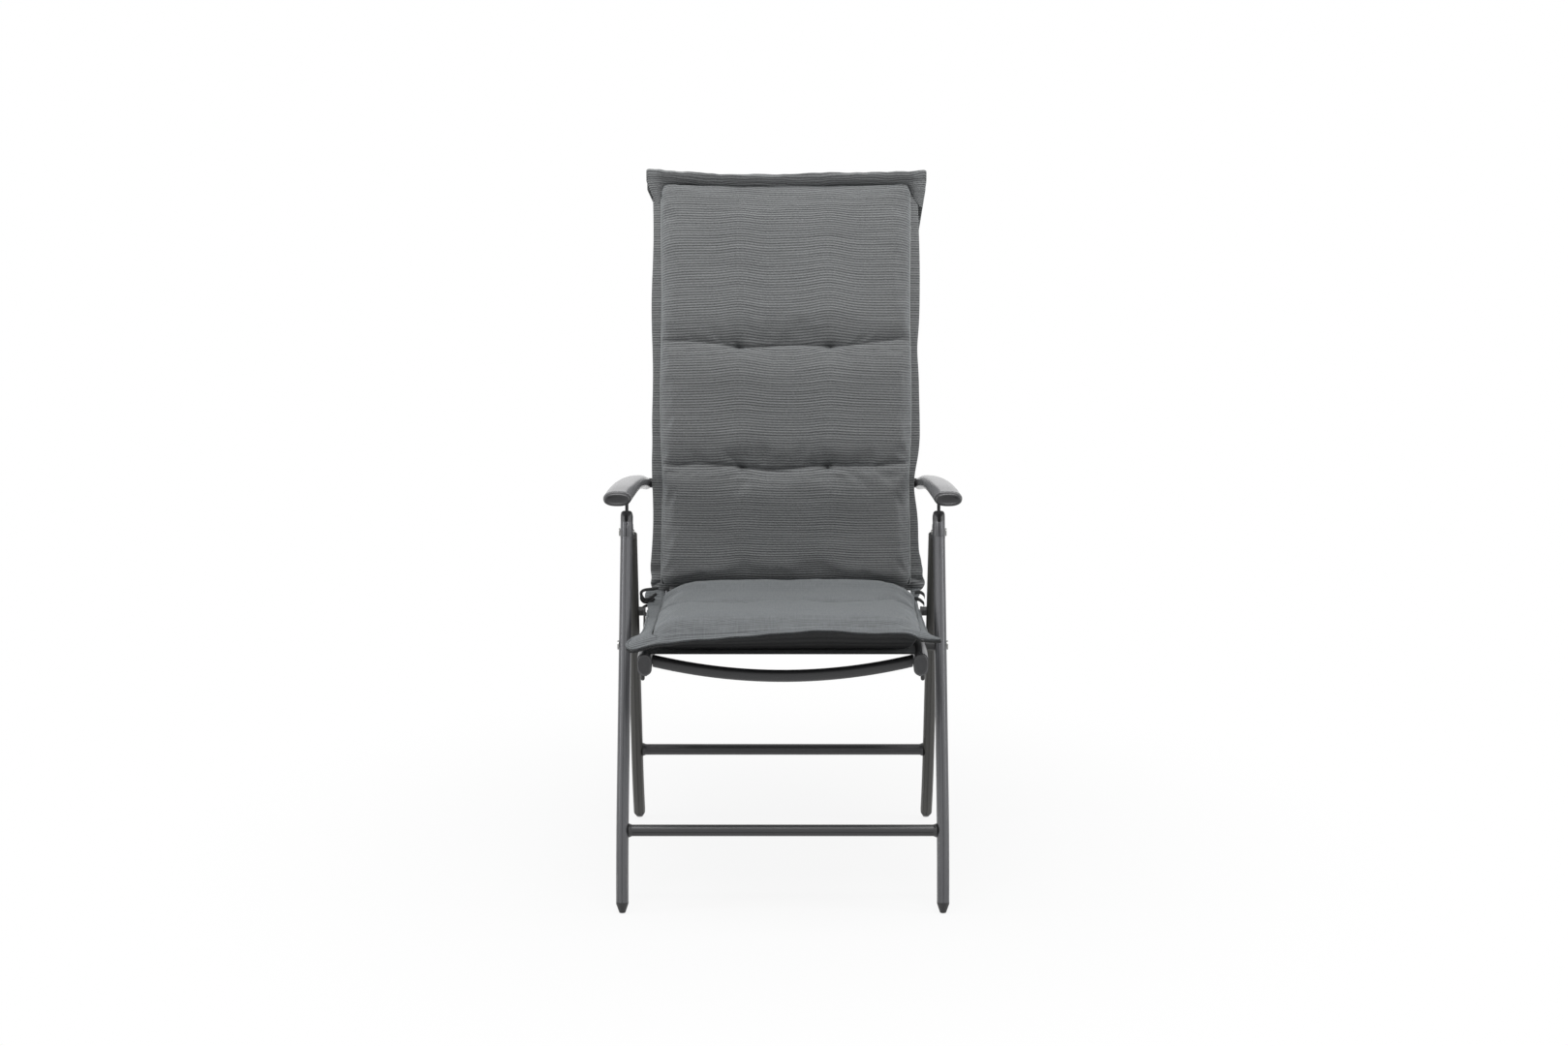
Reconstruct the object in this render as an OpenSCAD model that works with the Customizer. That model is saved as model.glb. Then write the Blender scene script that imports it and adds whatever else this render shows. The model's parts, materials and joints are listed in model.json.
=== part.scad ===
// Folding recliner armchair with a padded high-back cushion.
// X is across the chair, -Y is its front and +Z is up; the feet stand on z = 0.
// Side-view points are [y, z] pairs, and angles lean back from the vertical.

/* [Legs] */
// Width of a leg tube across the chair
leg_w = 19.4; // [16:0.1:24]
// Depth of a leg tube from front to back
leg_d = 26; // [22:0.5:32]
// Wall of the leg tubes
leg_wall = 1.8; // [1.2:0.1:2.4]
// Middle of a front leg from the middle of the chair
front_leg_x = 253.2; // [251:0.1:262]
// Middle of a rear leg from the middle of the chair
rear_leg_x = 247.6; // [246.5:0.1:249]
// Height of the leg hinge
pivot_z = 553.7; // [530:0.1:580]
// How far the front legs lean back
front_lean = 28.3; // [24:0.1:32]
// How far the rear legs lean the other way
rear_lean = 18; // [14:0.1:22]
// Straight length of a leg, from its top to its curve
leg_upper = 440; // [430:1:450]
// Radius of the curved lower leg
leg_curve_r = 470; // [450:5:560]
// Gap between front and rear legs when folded
nest_gap = 0.6; // [0.4:0.1:2]
// Diameter of the crossbars
crossbar_d = 18.4; // [16:0.1:20]
// Height of the front crossbar
front_bar_z = 125; // [105:1:140]
// Height of the rear crossbar
rear_bar_z = 142; // [130:1:156]
// Height of the foot plugs below the tubes
foot_h = 17; // [12:1:22]

/* [Seat] */
// Height of the seat pivot on the front legs
seat_pivot_z = 391; // [380:1:400]
// Middle of a seat rail from the middle of the chair
seat_rail_x = 213; // [212.8:0.1:214]
// Width of a seat rail
seat_rail_w = 22; // [20:0.5:22]
// Height of a seat rail
seat_rail_h = 38; // [36:0.5:42]
// Wall of the seat and back rails
rail_wall = 2; // [1.5:0.1:2.5]
// Rise of the seat towards the front
seat_rise = 6.3; // [4:0.1:8]
// Seat pivot below the middle of the rail
seat_pivot_drop = 6; // [2:0.5:8]
// Length of a seat rail in front of the seat pivot, up to its bend
seat_front = 158; // [140:1:170]
// Bend at the front of a seat rail, downwards
seat_bend = 14; // [8:1:20]
// Radius of that bend
seat_bend_r = 200; // [160:10:260]
// Seat pivot to backrest hinge
seat_depth = 262; // [255:1:268]
// Diameter of the arc bar below the front of the seat
arc_bar_d = 19; // [16:0.5:20]
// Sag of the arc bar
arc_bar_sag = 24; // [15:1:30]
// Thickness of the sling fabric
sling_t = 1.6; // [1:0.1:2.4]
// Thickness of the seat cushion
seat_pad_t = 42; // [30:1:44]
// Half width of the seat cushion
seat_pad_x = 226; // [215:1:227]
// Backrest hinge to the middle of the link bracket
bracket_along = 143; // [138:1:150]
// Lower end of the link below the middle of the seat rail
bracket_drop = 69; // [60:1:74]
// Height of the link's pin on the rear leg above the seat's pivot
link_pin_up = 14.6; // [9:0.2:24]

/* [Backrest] */
// Width of a back rail
back_rail_w = 19; // [17:0.5:19]
// Depth of a back rail
back_rail_d = 28; // [24:0.5:30]
// Lean of the lower part of the back
back_lean = 7; // [5:0.5:9]
// Straight length of a back rail, up to its curve
back_lower = 252; // [248:1:262]
// Lean that the curve adds up to the top of the back
back_bend = 18; // [12:1:20]
// Radius of that curve
back_bend_r = 1300; // [1250:10:1600]
// Diameter of the top bow
bow_d = 18; // [16:0.5:20]
// Corner radius of the top bow
bow_r = 48; // [40:1:60]
// Height of the armrest's pivot above the hinge of the legs
arm_pivot_above = 42.8; // [38:0.2:52]
// Thickness of the back cushion
back_pad_t = 42; // [30:1:46]
// Half width of the back cushion
back_pad_x = 217; // [205:1:218]
// Half width of the hood over the top of the back
hood_x = 232; // [220:1:236]

/* [Armrests] */
// Thickness of an armrest
arm_t = 25; // [22:0.5:28]
// Width of an armrest at the front
arm_w = 46; // [40:1:48]
// Length of an armrest in front of its pivot
arm_len = 376; // [360:1:390]
// Rise of the armrest towards the front
arm_rise = 45; // [40:1:48]
// Width of the groove below an armrest
groove_w = 10; // [9:0.5:13]
// Thickness of a lock tongue
tongue_t = 5; // [4:0.1:6]
// Number of notches in a rack
notches = 7; // [5:1:8]
// Distance between notches
notch_pitch = 24; // [20:1:25]

/* [Fits] */
// Radius of the hinge pins
pin_r = 4; // [3.5:0.1:4.5]
// Radial running clearance of a pin in its bore
run_gap = 0.05; // [0.02:0.01:0.09]
// Gap between parts that slide past each other
side_gap = 0.3; // [0.2:0.05:0.4]

/* [Hidden] */
$fn = 48;

// The chair is drawn from its leg hinge, and this moves it over the origin.
centre_y = 31.4;
leg_pivot = [11.7, pivot_z];
leg_offset = (leg_d + nest_gap) / 2;
front_leg_top = leg_pivot - leg_offset * [cos(front_lean), -sin(front_lean)];
rear_leg_top = leg_pivot + leg_offset * [cos(rear_lean), sin(rear_lean)];
front_turn = leg_turn(front_leg_top, -front_lean, foot_h);
rear_turn = leg_turn(rear_leg_top, rear_lean, foot_h);
seat_pivot = down(front_leg_top, -front_lean, (front_leg_top[1] - seat_pivot_z) / cos(front_lean));
rail_at_pivot = seat_pivot + seat_pivot_drop * [sin(seat_rise), cos(seat_rise)];
back_hinge = rail_at_pivot + seat_depth * [cos(seat_rise), -sin(seat_rise)];
arm_pivot = back_hinge + (pivot_z + arm_pivot_above - back_hinge[1]) * [tan(back_lean), 1];
rail_tail = 30;
back_stub = back_rail_d / 2;
back_top = back_hinge + back_lower * [sin(back_lean), cos(back_lean)] + back_bend_r
    * [cos(back_lean) - cos(back_lean + back_bend), sin(back_lean + back_bend) - sin(back_lean)];
// Link: its pin on the rear leg and its lower end under the seat
link_pin = down(rear_leg_top, rear_lean, (rear_leg_top[1] - seat_pivot_z - link_pin_up) / cos(rear_lean));
link_end = on_rail(bracket_along) - [0, bracket_drop];
link_t = 3;
link_w = 16;
bracket_half = 20;
bracket_low = 3;
bracket_w = 14;
spacer_r = 8.5;
rear_bar_r = 9;
rear_bar_drop = 4;
rear_bar_along = 62;
low_bar_r = 8;
low_bar_behind = 4;
low_bar_up = 64;
rail_out = seat_rail_x + seat_rail_w / 2;
rail_in = seat_rail_x - seat_rail_w / 2;
link_in = rail_out + link_t + side_gap;
link_out = link_in + link_t;
plate_out = link_in - side_gap;
plate_r = 24;
head_r = 6.5;
head_t = 1.1;
back_rail_x = rail_in - 1.4 - back_rail_w / 2;
back_out = back_rail_x + back_rail_w / 2;
back_in = back_rail_x - back_rail_w / 2;
rear_leg_in = rear_leg_x - leg_w / 2;
rear_leg_out = rear_leg_x + leg_w / 2;
front_leg_in = front_leg_x - leg_w / 2;
front_leg_out = front_leg_x + leg_w / 2;
cap_r = 13;
cap_w = leg_w + 2.6;
cap_up = 14;
tube_start = 14;
bow_up = 18;
slot_floor = 10;
flare_l = 6;
spigot_l = 9;
eye_w = 7;
eye_neck = 6;
bush_r = 7;
stud_r = 5;
arm_bush_r = 8;
nose_len = 12;
rack_end_gap = 12;
arm_back_w = 18;
arm_back_x = back_pad_x + 2.5 + arm_back_w / 2;
arm_front_x = front_leg_x + 3.3;
tongue_pin = leg_pivot + [8.3, 66.3];
tongue_pin_r = 2.5;
pad_gap = 0.4;
pad_sink = 1;
seat_pad_up = seat_rail_h / 2 - pad_sink + seat_pad_t / 2;
seat_pad_rear = 22;
back_pad_front = back_rail_d / 2 + pad_gap + back_pad_t / 2;
back_pad_start = 74;
back_pad_rise = 2.6;
hood_t = 5;
hood_top_t = 9;
sling_in = 3.7;
back_sling_start = 40;
hood_lip = 30;
hood_flap_turn = 6;

// A point a distance down a line that leans by an angle from the vertical
function down(p, lean, d) = p + d * [sin(lean), -cos(lean)];
// The turn of a leg's curve down to a height, and the point of the curve after a turn
function leg_turn(top, lean, z) =
    asin(sin(lean) + (down(top, lean, leg_upper)[1] - z) / leg_curve_r) - lean;
function leg_at(top, lean, turn) = down(top, lean, leg_upper)
    + leg_curve_r * [cos(lean) - cos(lean + turn), sin(lean) - sin(lean + turn)];

// A point on the middle of a seat rail, in front of the backrest hinge
function on_rail(d) = back_hinge + d * [-cos(seat_rise), sin(seat_rise)];

// Places its children at a side-view point
module at(p) translate([0, p[0] - centre_y, p[1]]) children();
// Places its children at a side-view point with their Z axis along a direction; +Y stays the outside of bends
module heading(p, angle) at(p) rotate([angle, 0, 0]) children();
module both() {
    children();
    mirror([1, 0, 0]) children();
}
// A bar across the chair between two distances from its middle
module cross(x0, x1, r) translate([x0, 0, 0]) rotate([0, 90, 0]) cylinder(r = r, h = x1 - x0);

// Flat-oval outline, its longer side along Y
module oval(w, d) {
    square([w, d - w], center = true);
    for (s = [-1, 1]) translate([0, s * (d - w) / 2]) circle(d = w);
}
module oval_tube(w, d, wall) difference() {
    oval(w, d);
    oval(w - 2 * wall, d - 2 * wall);
}
module round_tube(d) difference() {
    circle(d = d);
    circle(d = d - 2 * rail_wall);
}
// Outline of a plug that fits inside an oval tube
module plug_outline(w, d, wall) oval(w - 2 * wall - 0.2, d - 2 * wall - 0.2);
// Leg outline with three fine flutes along its front
module leg_outline() difference() {
    oval_tube(leg_w, leg_d, leg_wall);
    for (a = [-38, 0, 38]) translate([0, (leg_d - leg_w) / 2]) rotate(a)
        translate([0, leg_w / 2 + 0.1]) circle(r = 0.7, $fn = 16);
}
// Sweeps its children along straight steps [0, length] and bends [radius, angle] towards +Y
module sweep(steps, i = 0) {
    if (i < len(steps)) {
        r = steps[i][0];
        a = steps[i][1];
        if (r == 0) {
            linear_extrude(height = a) children();
            translate([0, 0, a]) sweep(steps, i + 1) children();
        } else {
            s = a < 0 ? -1 : 1;
            translate([0, s * r, 0]) rotate([90, 0, -90 * s]) rotate_extrude(angle = abs(a), $fn = 96)
                translate([r, 0]) rotate(90 * s) mirror([1, 0, 0]) children();
            translate([0, s * r, 0]) rotate([-a, 0, 0]) translate([0, -s * r, 0])
                sweep(steps, i + 1) children();
        }
    }
}

// ---- Front frame ----
module front_leg_axis() heading(front_leg_top, 180 - front_lean) children();
module rear_leg_axis() heading(rear_leg_top, 180 + rear_lean) children();

module front_leg() color("dimgray") difference() {
    translate([front_leg_x, 0, 0]) front_leg_axis() translate([0, 0, tube_start])
        sweep([[0, leg_upper - tube_start], [leg_curve_r, -front_turn]]) leg_outline();
    at(seat_pivot) cross(front_leg_in - 1, front_leg_out + 1, pin_r);
}
module front_crossbar() color("dimgray") bar_with_flares(front_leg_in,
    leg_at(front_leg_top, -front_lean, leg_turn(front_leg_top, -front_lean, front_bar_z)));
// Round tube with a groove along its front and back, and a flared weld where it meets each leg
module bar_with_flares(x, p) at(p) {
    difference() {
        cross(-x, x, crossbar_d / 2);
        cross(-x - 1, x + 1, crossbar_d / 2 - leg_wall);
        for (s = [-1, 1]) translate([-x, s * crossbar_d / 2 - 0.6, -0.7]) cube([2 * x, 1.2, 1.4]);
    }
    both() translate([x - flare_l, 0, 0]) rotate([0, 90, 0]) difference() {
        cylinder(r1 = crossbar_d / 2 - 0.2, r2 = crossbar_d / 2 + 2.2, h = flare_l);
        translate([0, 0, -1]) cylinder(r = crossbar_d / 2 - leg_wall, h = flare_l + 2);
    }
}
// Foot plug: a collar on the tube's end, a spigot inside it and a tip with a small flat sole
module foot_plug(x, top, lean, turn) translate([x, 0, 0]) {
    tilt = lean + turn;
    collar = leg_at(top, lean, turn);
    sole = collar + foot_h * [tan(tilt), -1];
    heading(collar, 180 + tilt) translate([0, 0, -spigot_l]) linear_extrude(height = spigot_l)
        plug_outline(leg_w, leg_d, leg_wall);
    hull() {
        heading(collar, 180 + tilt) linear_extrude(height = 3) oval(leg_w, leg_d, $fn = 32);
        at(sole) cylinder(r = 5, h = 1, $fn = 24);
    }
}
module front_feet() color("black") both() foot_plug(front_leg_x, front_leg_top, -front_lean, front_turn);
// Moulded cap: plugs the front leg, and its cheeks hold the knuckle of the rear leg
module leg_cap() color("black") translate([front_leg_x, 0, 0]) difference() {
    union() {
        front_leg_axis() translate([0, 0, -cap_up]) linear_extrude(height = cap_up + tube_start)
            oval(cap_w, leg_d + 1);
        front_leg_axis() linear_extrude(height = tube_start + 22) plug_outline(leg_w, leg_d, leg_wall);
        front_leg_axis() translate([0, 0, -cap_up]) intersection() {
            cross(-cap_w / 2, cap_w / 2, (leg_d + 1) / 2);
            linear_extrude(height = 40, center = true) oval(cap_w, leg_d + 1);
        }
        at(leg_pivot) cross(-cap_w / 2, cap_w / 2, cap_r);
    }
    // slot for the knuckle of the rear leg
    at(leg_pivot) cross(-eye_w / 2 - side_gap, eye_w / 2 + side_gap, cap_r + 2);
    // slot for the lock tongue
    front_leg_axis() translate([-tongue_t / 2, -20, -60]) cube([tongue_t, 40, 60 - slot_floor]);
    at(leg_pivot) cross(-cap_w, cap_w, pin_r);
}
// Steel tongue with a cross pin that catches the notches of the armrest
module lock_tongue() color("silver") translate([front_leg_x, 0, 0]) {
    hull() {
        at(down(front_leg_top, -front_lean, -slot_floor - 5)) cross(-tongue_t / 2, tongue_t / 2, 5, $fn = 32);
        at(tongue_pin) cross(-tongue_t / 2, tongue_t / 2, 3.4, $fn = 32);
    }
    at(tongue_pin) cross(-groove_w / 2 + 0.6, groove_w / 2 - 0.6, tongue_pin_r);
}
module leg_hinge_pins() color("silver") both() translate([front_leg_x, 0, 0]) at(leg_pivot) {
    cross(-cap_w / 2 - 1, cap_w / 2, pin_r);
    cross(cap_w / 2, cap_w / 2 + 2, pin_r + 2.5);
}

// ---- Rear frame ----
module rear_leg() color("gray") difference() {
    translate([rear_leg_x, 0, 0]) rear_leg_axis() translate([0, 0, tube_start])
        sweep([[0, leg_upper - tube_start], [leg_curve_r, -rear_turn]]) leg_outline();
    at(link_pin) cross(rear_leg_in - 1, rear_leg_out + 1, pin_r);
}
module rear_crossbar() color("dimgray")
    bar_with_flares(rear_leg_in,
    leg_at(rear_leg_top, rear_lean, leg_turn(rear_leg_top, rear_lean, rear_bar_z)));
module rear_feet() color("black") both() foot_plug(rear_leg_x, rear_leg_top, rear_lean, rear_turn);
// Knuckle: a plug in the top of the rear leg with an eye on the hinge pin
module rear_knuckles() color("black") both() difference() {
    union() {
        translate([front_leg_x, 0, 0]) at(leg_pivot) cross(-eye_w / 2, eye_w / 2, cap_r - 1.5);
        translate([front_leg_x, 0, 0]) rear_leg_axis() translate([-eye_neck / 2, 0, 0]) rotate([90, 0, 90])
            linear_extrude(height = eye_neck) polygon([[-8, tube_start], [8, tube_start],
            [leg_offset + 5, 7], [leg_offset + 1, -5], [leg_offset - 6, -5]]);
        translate([rear_leg_x, 0, 0]) rear_leg_axis() translate([0, 0, tube_start])
            linear_extrude(height = 22) plug_outline(leg_w, leg_d, leg_wall);
    }
    at(leg_pivot) cross(front_leg_x - cap_w, front_leg_x + cap_w, pin_r + run_gap);
}
// Rivet through the rear leg that carries a spacer and the top of the link
module link_pins() color("silver") both() at(link_pin) {
    cross(link_in - 0.2, rear_leg_out, pin_r);
    cross(rear_leg_out, rear_leg_out + 2, pin_r + 3);
    cross(link_out + 0.2, rear_leg_in, pin_r + 3.5);
}

// ---- Seat ----
module seat_axis() heading(back_hinge, 90 - seat_rise) children();
// Seat rail outline with the slot that holds the sling's edge
module seat_rail_outline() difference() {
    oval_tube(seat_rail_w, seat_rail_h, rail_wall);
    translate([-seat_rail_w / 2 - 1, seat_rail_h / 2 - 4.4]) square([seat_rail_w / 2 + 1, sling_t + 0.6]);
}
module seat_rail() color("dimgray") difference() {
    translate([seat_rail_x, 0, 0]) seat_axis() translate([0, 0, -rail_tail])
        sweep([[0, rail_tail + seat_depth + seat_front], [seat_bend_r, -seat_bend]]) seat_rail_outline();
    at(seat_pivot) cross(rail_in - 1, rail_out + 1, pin_r + run_gap);
    at(back_hinge) cross(rail_in - 1, rail_out + 1, bush_r + run_gap);
}
module rail_front() seat_axis() translate([0, 0, seat_depth + seat_front])
    translate([0, -seat_bend_r, 0]) rotate([seat_bend, 0, 0]) translate([0, seat_bend_r, 0]) children();
// Domed plug in each end of a seat rail
module seat_rail_caps() color("black") both() translate([seat_rail_x, 0, 0]) {
    rail_front() rail_cap();
    seat_axis() translate([0, 0, -rail_tail]) mirror([0, 0, 1]) rail_cap();
}
module rail_cap() {
    linear_extrude(height = 3) oval(seat_rail_w + 0.6, seat_rail_h + 0.6);
    translate([0, 0, 3]) linear_extrude(height = 1.6) oval(seat_rail_w - 4, seat_rail_h - 4);
    translate([0, 0, -16]) linear_extrude(height = 16)
        oval(seat_rail_w - 2 * rail_wall - 0.2, seat_rail_h - 2 * rail_wall - 8);
}
// Bowed bar between the seat rails, welded under their front ends
arc_half = rail_in;
arc_r = (arc_half * arc_half + arc_bar_sag * arc_bar_sag) / (2 * arc_bar_sag);
arc_angle = 2 * asin(arc_half / arc_r);
module seat_arc_bar() color("dimgray") seat_axis() translate([0, -6, seat_depth + seat_front + 8])
    intersection() {
        translate([0, arc_r - arc_bar_sag, 0]) rotate([0, 0, -90 - arc_angle / 2 - 1])
            rotate_extrude(angle = arc_angle + 2, $fn = 96) translate([arc_r, 0]) round_tube(arc_bar_d);
        cube([2 * arc_half, 4 * (arc_bar_sag + arc_bar_d), 4 * arc_bar_d], center = true);
    }
module seat_rear_bar() color("dimgray") seat_axis() translate([0, -rear_bar_drop, rear_bar_along])
    straight_bar(rail_in, rear_bar_r);
// Round tube between the two rails
module straight_bar(x, r) difference() {
    cross(-x, x, r);
    cross(-x - 1, x + 1, r - rail_wall);
}
// Bolt fixed in the front leg, running in the seat rail
module seat_pivot_bolts() color("silver") both() at(seat_pivot) {
    cross(rail_in - 3, front_leg_out, pin_r);
    cross(front_leg_out, front_leg_out + 2.4, pin_r + 3.4);
    cross(rail_in - 5, rail_in - side_gap, pin_r + 3);
}
module seat_pivot_spacers() color("black") both() at(seat_pivot) difference() {
    cross(rail_out + side_gap, front_leg_in, spacer_r);
    cross(rail_out, front_leg_in + 1, pin_r);
}
// Steel plate welded outside the seat rail; the link's lower end lies against it
module link_brackets() color("dimgray") both() translate([rail_out, 0, 0]) rotate([90, 0, 90])
    linear_extrude(height = link_t) hull() {
        translate(link_end - [centre_y, 0]) circle(d = link_w, $fn = 32);
        for (s = [-1, 1]) translate(on_rail(bracket_along + s * bracket_half) - [centre_y, bracket_low])
            circle(d = bracket_w, $fn = 32);
    }
module seat_sling() color("black") seat_axis()
    translate([0, seat_rail_h / 2 - 3.3, 0]) translate([0, 0, 24])
    sweep([[0, seat_depth + seat_front - 24], [seat_bend_r + seat_rail_h / 2 - 3.3, -seat_bend + 1]])
        square([2 * rail_in + 8, sling_t], center = true);
// Cushion outline across the chair: a slab with rounded edges
module pad_outline(x, t) {
    square([2 * x - t, t], center = true);
    for (s = [-1, 1]) translate([s * (x - t / 2), 0]) circle(d = t);
}
module seat_cushion() color("slategray") seat_axis()
    translate([0, seat_pad_up, seat_pad_rear])
    sweep([[0, seat_depth + seat_front - seat_pad_rear], [seat_bend_r + seat_pad_up, -seat_bend]])
        pad_outline(seat_pad_x, seat_pad_t);

// ---- Links ----
module link() color("silver") difference() {
    union() {
        translate([link_in, 0, 0]) rotate([90, 0, 90]) linear_extrude(height = link_t) hull() {
            translate(link_end - [centre_y, 0]) circle(d = link_w, $fn = 32);
            translate(link_pin - [centre_y, 0]) circle(d = link_w, $fn = 32);
        }
        at(link_end) cross(link_out, link_out + 2, pin_r + 2);
    }
    at(link_pin) cross(link_in - 1, link_out + 1, pin_r + run_gap);
}

// ---- Backrest hinge ----
module hinge_bushes() color("black") both() at(back_hinge) difference() {
    union() {
        cross(rail_in - 0.1, rail_out + 0.1, bush_r);
        cross(back_out + side_gap, rail_in - side_gap, bush_r + 4);
        cross(rail_in - side_gap - 0.1, rail_in, bush_r);
    }
    cross(back_out, rail_out + 1, pin_r + run_gap);
}
// Round steel plate outside the seat rail, on the end of the bush, with a recess for the pin's head
module hinge_plates() color("silver") both() at(back_hinge) difference() {
    cross(rail_out + 0.1, plate_out, plate_r);
    cross(rail_out, plate_out + 1, pin_r + run_gap);
    cross(plate_out - head_t - 0.2, plate_out + 1, head_r + run_gap);
}
module back_hinge_pins() color("silver") both() at(back_hinge) {
    cross(back_in - 2, plate_out - 0.5, pin_r);
    cross(plate_out - head_t - 0.1, plate_out - 0.1, head_r);
    cross(back_in - 2.4, back_in, head_r);
}

// ---- Backrest ----
module back_axis() heading(back_hinge, -back_lean) children();
module back_rail_outline() difference() {
    oval_tube(back_rail_w, back_rail_d, rail_wall);
    translate([-back_rail_w / 2 - 1, -back_rail_d / 2 + 2.6]) square([back_rail_w / 2 + 1, sling_t + 0.6]);
}
module back_rail() color("dimgray") difference() {
    translate([back_rail_x, 0, 0]) back_axis()
        sweep([[0, back_lower], [back_bend_r, back_bend]]) back_rail_outline();
    at(back_hinge) cross(back_in - 1, back_out + 1, pin_r);
    at(arm_pivot) cross(back_in - 1, back_out + 1, stud_r);
}
// Rounded plug in the foot of each back rail, round the hinge pin
module back_rail_plugs() color("black") both() at(back_hinge) difference() {
    intersection() {
        cross(back_in, back_out, back_stub);
        rotate([-back_lean, 0, 0]) translate([0, -back_rail_d, -back_rail_d - 0.1])
            cube([2 * back_out, 2 * back_rail_d, back_rail_d]);
    }
    cross(back_in - 1, back_out + 1, pin_r);
}
// Bent tube that joins the back rails at the top
module back_top_bow() color("dimgray") at(back_top) rotate([-back_lean - back_bend, 0, 0]) {
    both() translate([back_rail_x, 0, 0]) {
        difference() {
            union() {
                translate([0, 0, -30]) cylinder(d = back_rail_w - 2 * rail_wall - 0.4, h = 30);
                cylinder(d = bow_d, h = bow_up);
            }
            translate([0, 0, -31]) cylinder(d = bow_d - 2 * rail_wall - 2, h = bow_up + 32);
        }
        translate([-bow_r, 0, bow_up]) rotate([90, 0, 0]) rotate_extrude(angle = 90, $fn = 96)
            translate([bow_r, 0]) round_tube(bow_d);
    }
    translate([0, 0, bow_up + bow_r]) straight_bar(back_rail_x - bow_r, bow_d / 2);
}
module back_lower_bar() color("dimgray") back_axis() translate([0, low_bar_behind, low_bar_up])
    straight_bar(back_in, low_bar_r);
module back_sling() color("black") back_axis() translate([0, -back_rail_d / 2 + sling_in, back_sling_start])
    sweep([[0, back_lower - back_sling_start], [back_bend_r + back_rail_d / 2 - sling_in, back_bend - 1]])
        square([2 * back_in + 8, sling_t], center = true);
module back_cushion() color("dimgray") back_axis()
    translate([0, -back_pad_front, back_pad_start])
    sweep([[0, back_lower - back_pad_start], [back_bend_r + back_pad_front, back_bend + back_pad_rise]])
        pad_outline(back_pad_x, back_pad_t);
// Pocket of the cushion: over the bow, down behind the back and with a lip in front
module cushion_hood() color("dimgray") at(back_top) rotate([-back_lean - back_bend, 0, 0]) {
    front = -back_rail_d / 2 - pad_gap;
    top = bow_up + bow_r + bow_d / 2 + 1;
    behind = back_rail_d / 2 + 1 + hood_t / 2;
    translate([-hood_x, front - hood_lip, top])
        cube([2 * hood_x, behind + hood_t / 2 - front + hood_lip, hood_top_t]);
    translate([0, behind, 0]) linear_extrude(height = top + 1)
        square([2 * back_pad_x, hood_t], center = true);
    mirror([0, 0, 1]) translate([0, behind, 0]) sweep([[back_bend_r - behind, hood_flap_turn]])
        square([2 * back_pad_x, hood_t], center = true);
}
module arm_studs() color("silver") both() at(arm_pivot) {
    cross(back_in - 2, arm_back_x + arm_back_w / 2 + 0.4, stud_r);
    cross(arm_back_x + arm_back_w / 2 + 0.4, arm_back_x + arm_back_w / 2 + 2.4, stud_r + 2);
}

// ---- Armrests ----
module arm_bush() color("black") at(arm_pivot) difference() {
    union() {
        cross(back_out + side_gap, arm_back_x - arm_back_w / 2 - side_gap, 10);
        cross(back_out + side_gap, arm_back_x + arm_back_w / 2, arm_bush_r);
    }
    cross(back_out, arm_back_x + arm_back_w, stud_r + run_gap);
}
// Stations along the armrest: [forward, middle x, rise, width, thickness]
arm_stations = [
    [6, arm_back_x, 0, arm_back_w, arm_t - 1],
    [60, arm_back_x + 12, 14, arm_back_w + 6, arm_t],
    [130, arm_front_x - 7, arm_rise * 0.56, arm_w - 12, arm_t],
    [210, arm_front_x - 1, arm_rise * 0.8, arm_w - 3, arm_t],
    [300, arm_front_x, arm_rise, arm_w, arm_t],
    [arm_len - nose_len, arm_front_x, arm_rise + 1, arm_w, arm_t - 2]];
module arm_slice(s, t = 1) translate([s[1], -s[0], s[2]]) rotate([90, 0, 0])
    linear_extrude(height = t) resize([s[3], s[4]]) circle(r = 10, $fn = 28);
module armrest() color("dimgray") at(arm_pivot) difference() {
    union() {
        for (i = [0:len(arm_stations) - 2]) hull() {
            arm_slice(arm_stations[i]);
            arm_slice(arm_stations[i + 1]);
        }
        translate([arm_back_x - arm_back_w / 2, 0, 0]) cross(0, arm_back_w, arm_t / 2);
    }
    rack_line() translate([-groove_w / 2, -rack_back - 6, -40]) cube([groove_w, rack_len + 12, 52]);
    cross(arm_back_x - arm_back_w, arm_back_x + arm_back_w, arm_bush_r + run_gap);
}
// The line of the tooth tips, above the way that the tongue's pin takes
rack_gap = 0.8;
rack_start = [arm_pivot[0] - tongue_pin[0], tongue_pin[1] + tongue_pin_r + rack_gap - arm_pivot[1]];
rack_tilt = 5.6;
rack_back = 20;
rack_len = arm_len - nose_len - rack_end_gap - rack_start[0] + rack_back;
module rack_line() translate([front_leg_x, -rack_start[0], rack_start[1]]) rotate([-rack_tilt, 0, 0])
    mirror([0, 1, 0]) children();
// Two rows of teeth, with a channel between them for the tongue
module notch_rack() color("black") at(arm_pivot) rack_line() difference() {
    translate([-groove_w / 2 + 0.1, -rack_back, 0]) cube([groove_w - 0.2, rack_len, 11.8]);
    translate([-tongue_t / 2 - 0.4, -rack_back - 1, -1]) cube([tongue_t + 0.8, rack_len + 2, 7]);
    for (i = [0:notches - 1]) translate([0, i * notch_pitch, tongue_pin_r]) {
        cross(-groove_w, groove_w, tongue_pin_r + 0.4);
        translate([-groove_w, -tongue_pin_r - 0.4, -5]) cube([2 * groove_w, 2 * tongue_pin_r + 0.8, 5]);
    }
}
module arm_nose() color("black") at(arm_pivot) hull() {
    s = arm_stations[len(arm_stations) - 1];
    arm_slice([s[0] + 1, s[1], s[2], s[3] - 0.6, s[4] - 0.6]);
    arm_slice([s[0] + nose_len - 2, s[1], s[2] + 0.5, s[3] - 12, s[4] - 9]);
}

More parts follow.
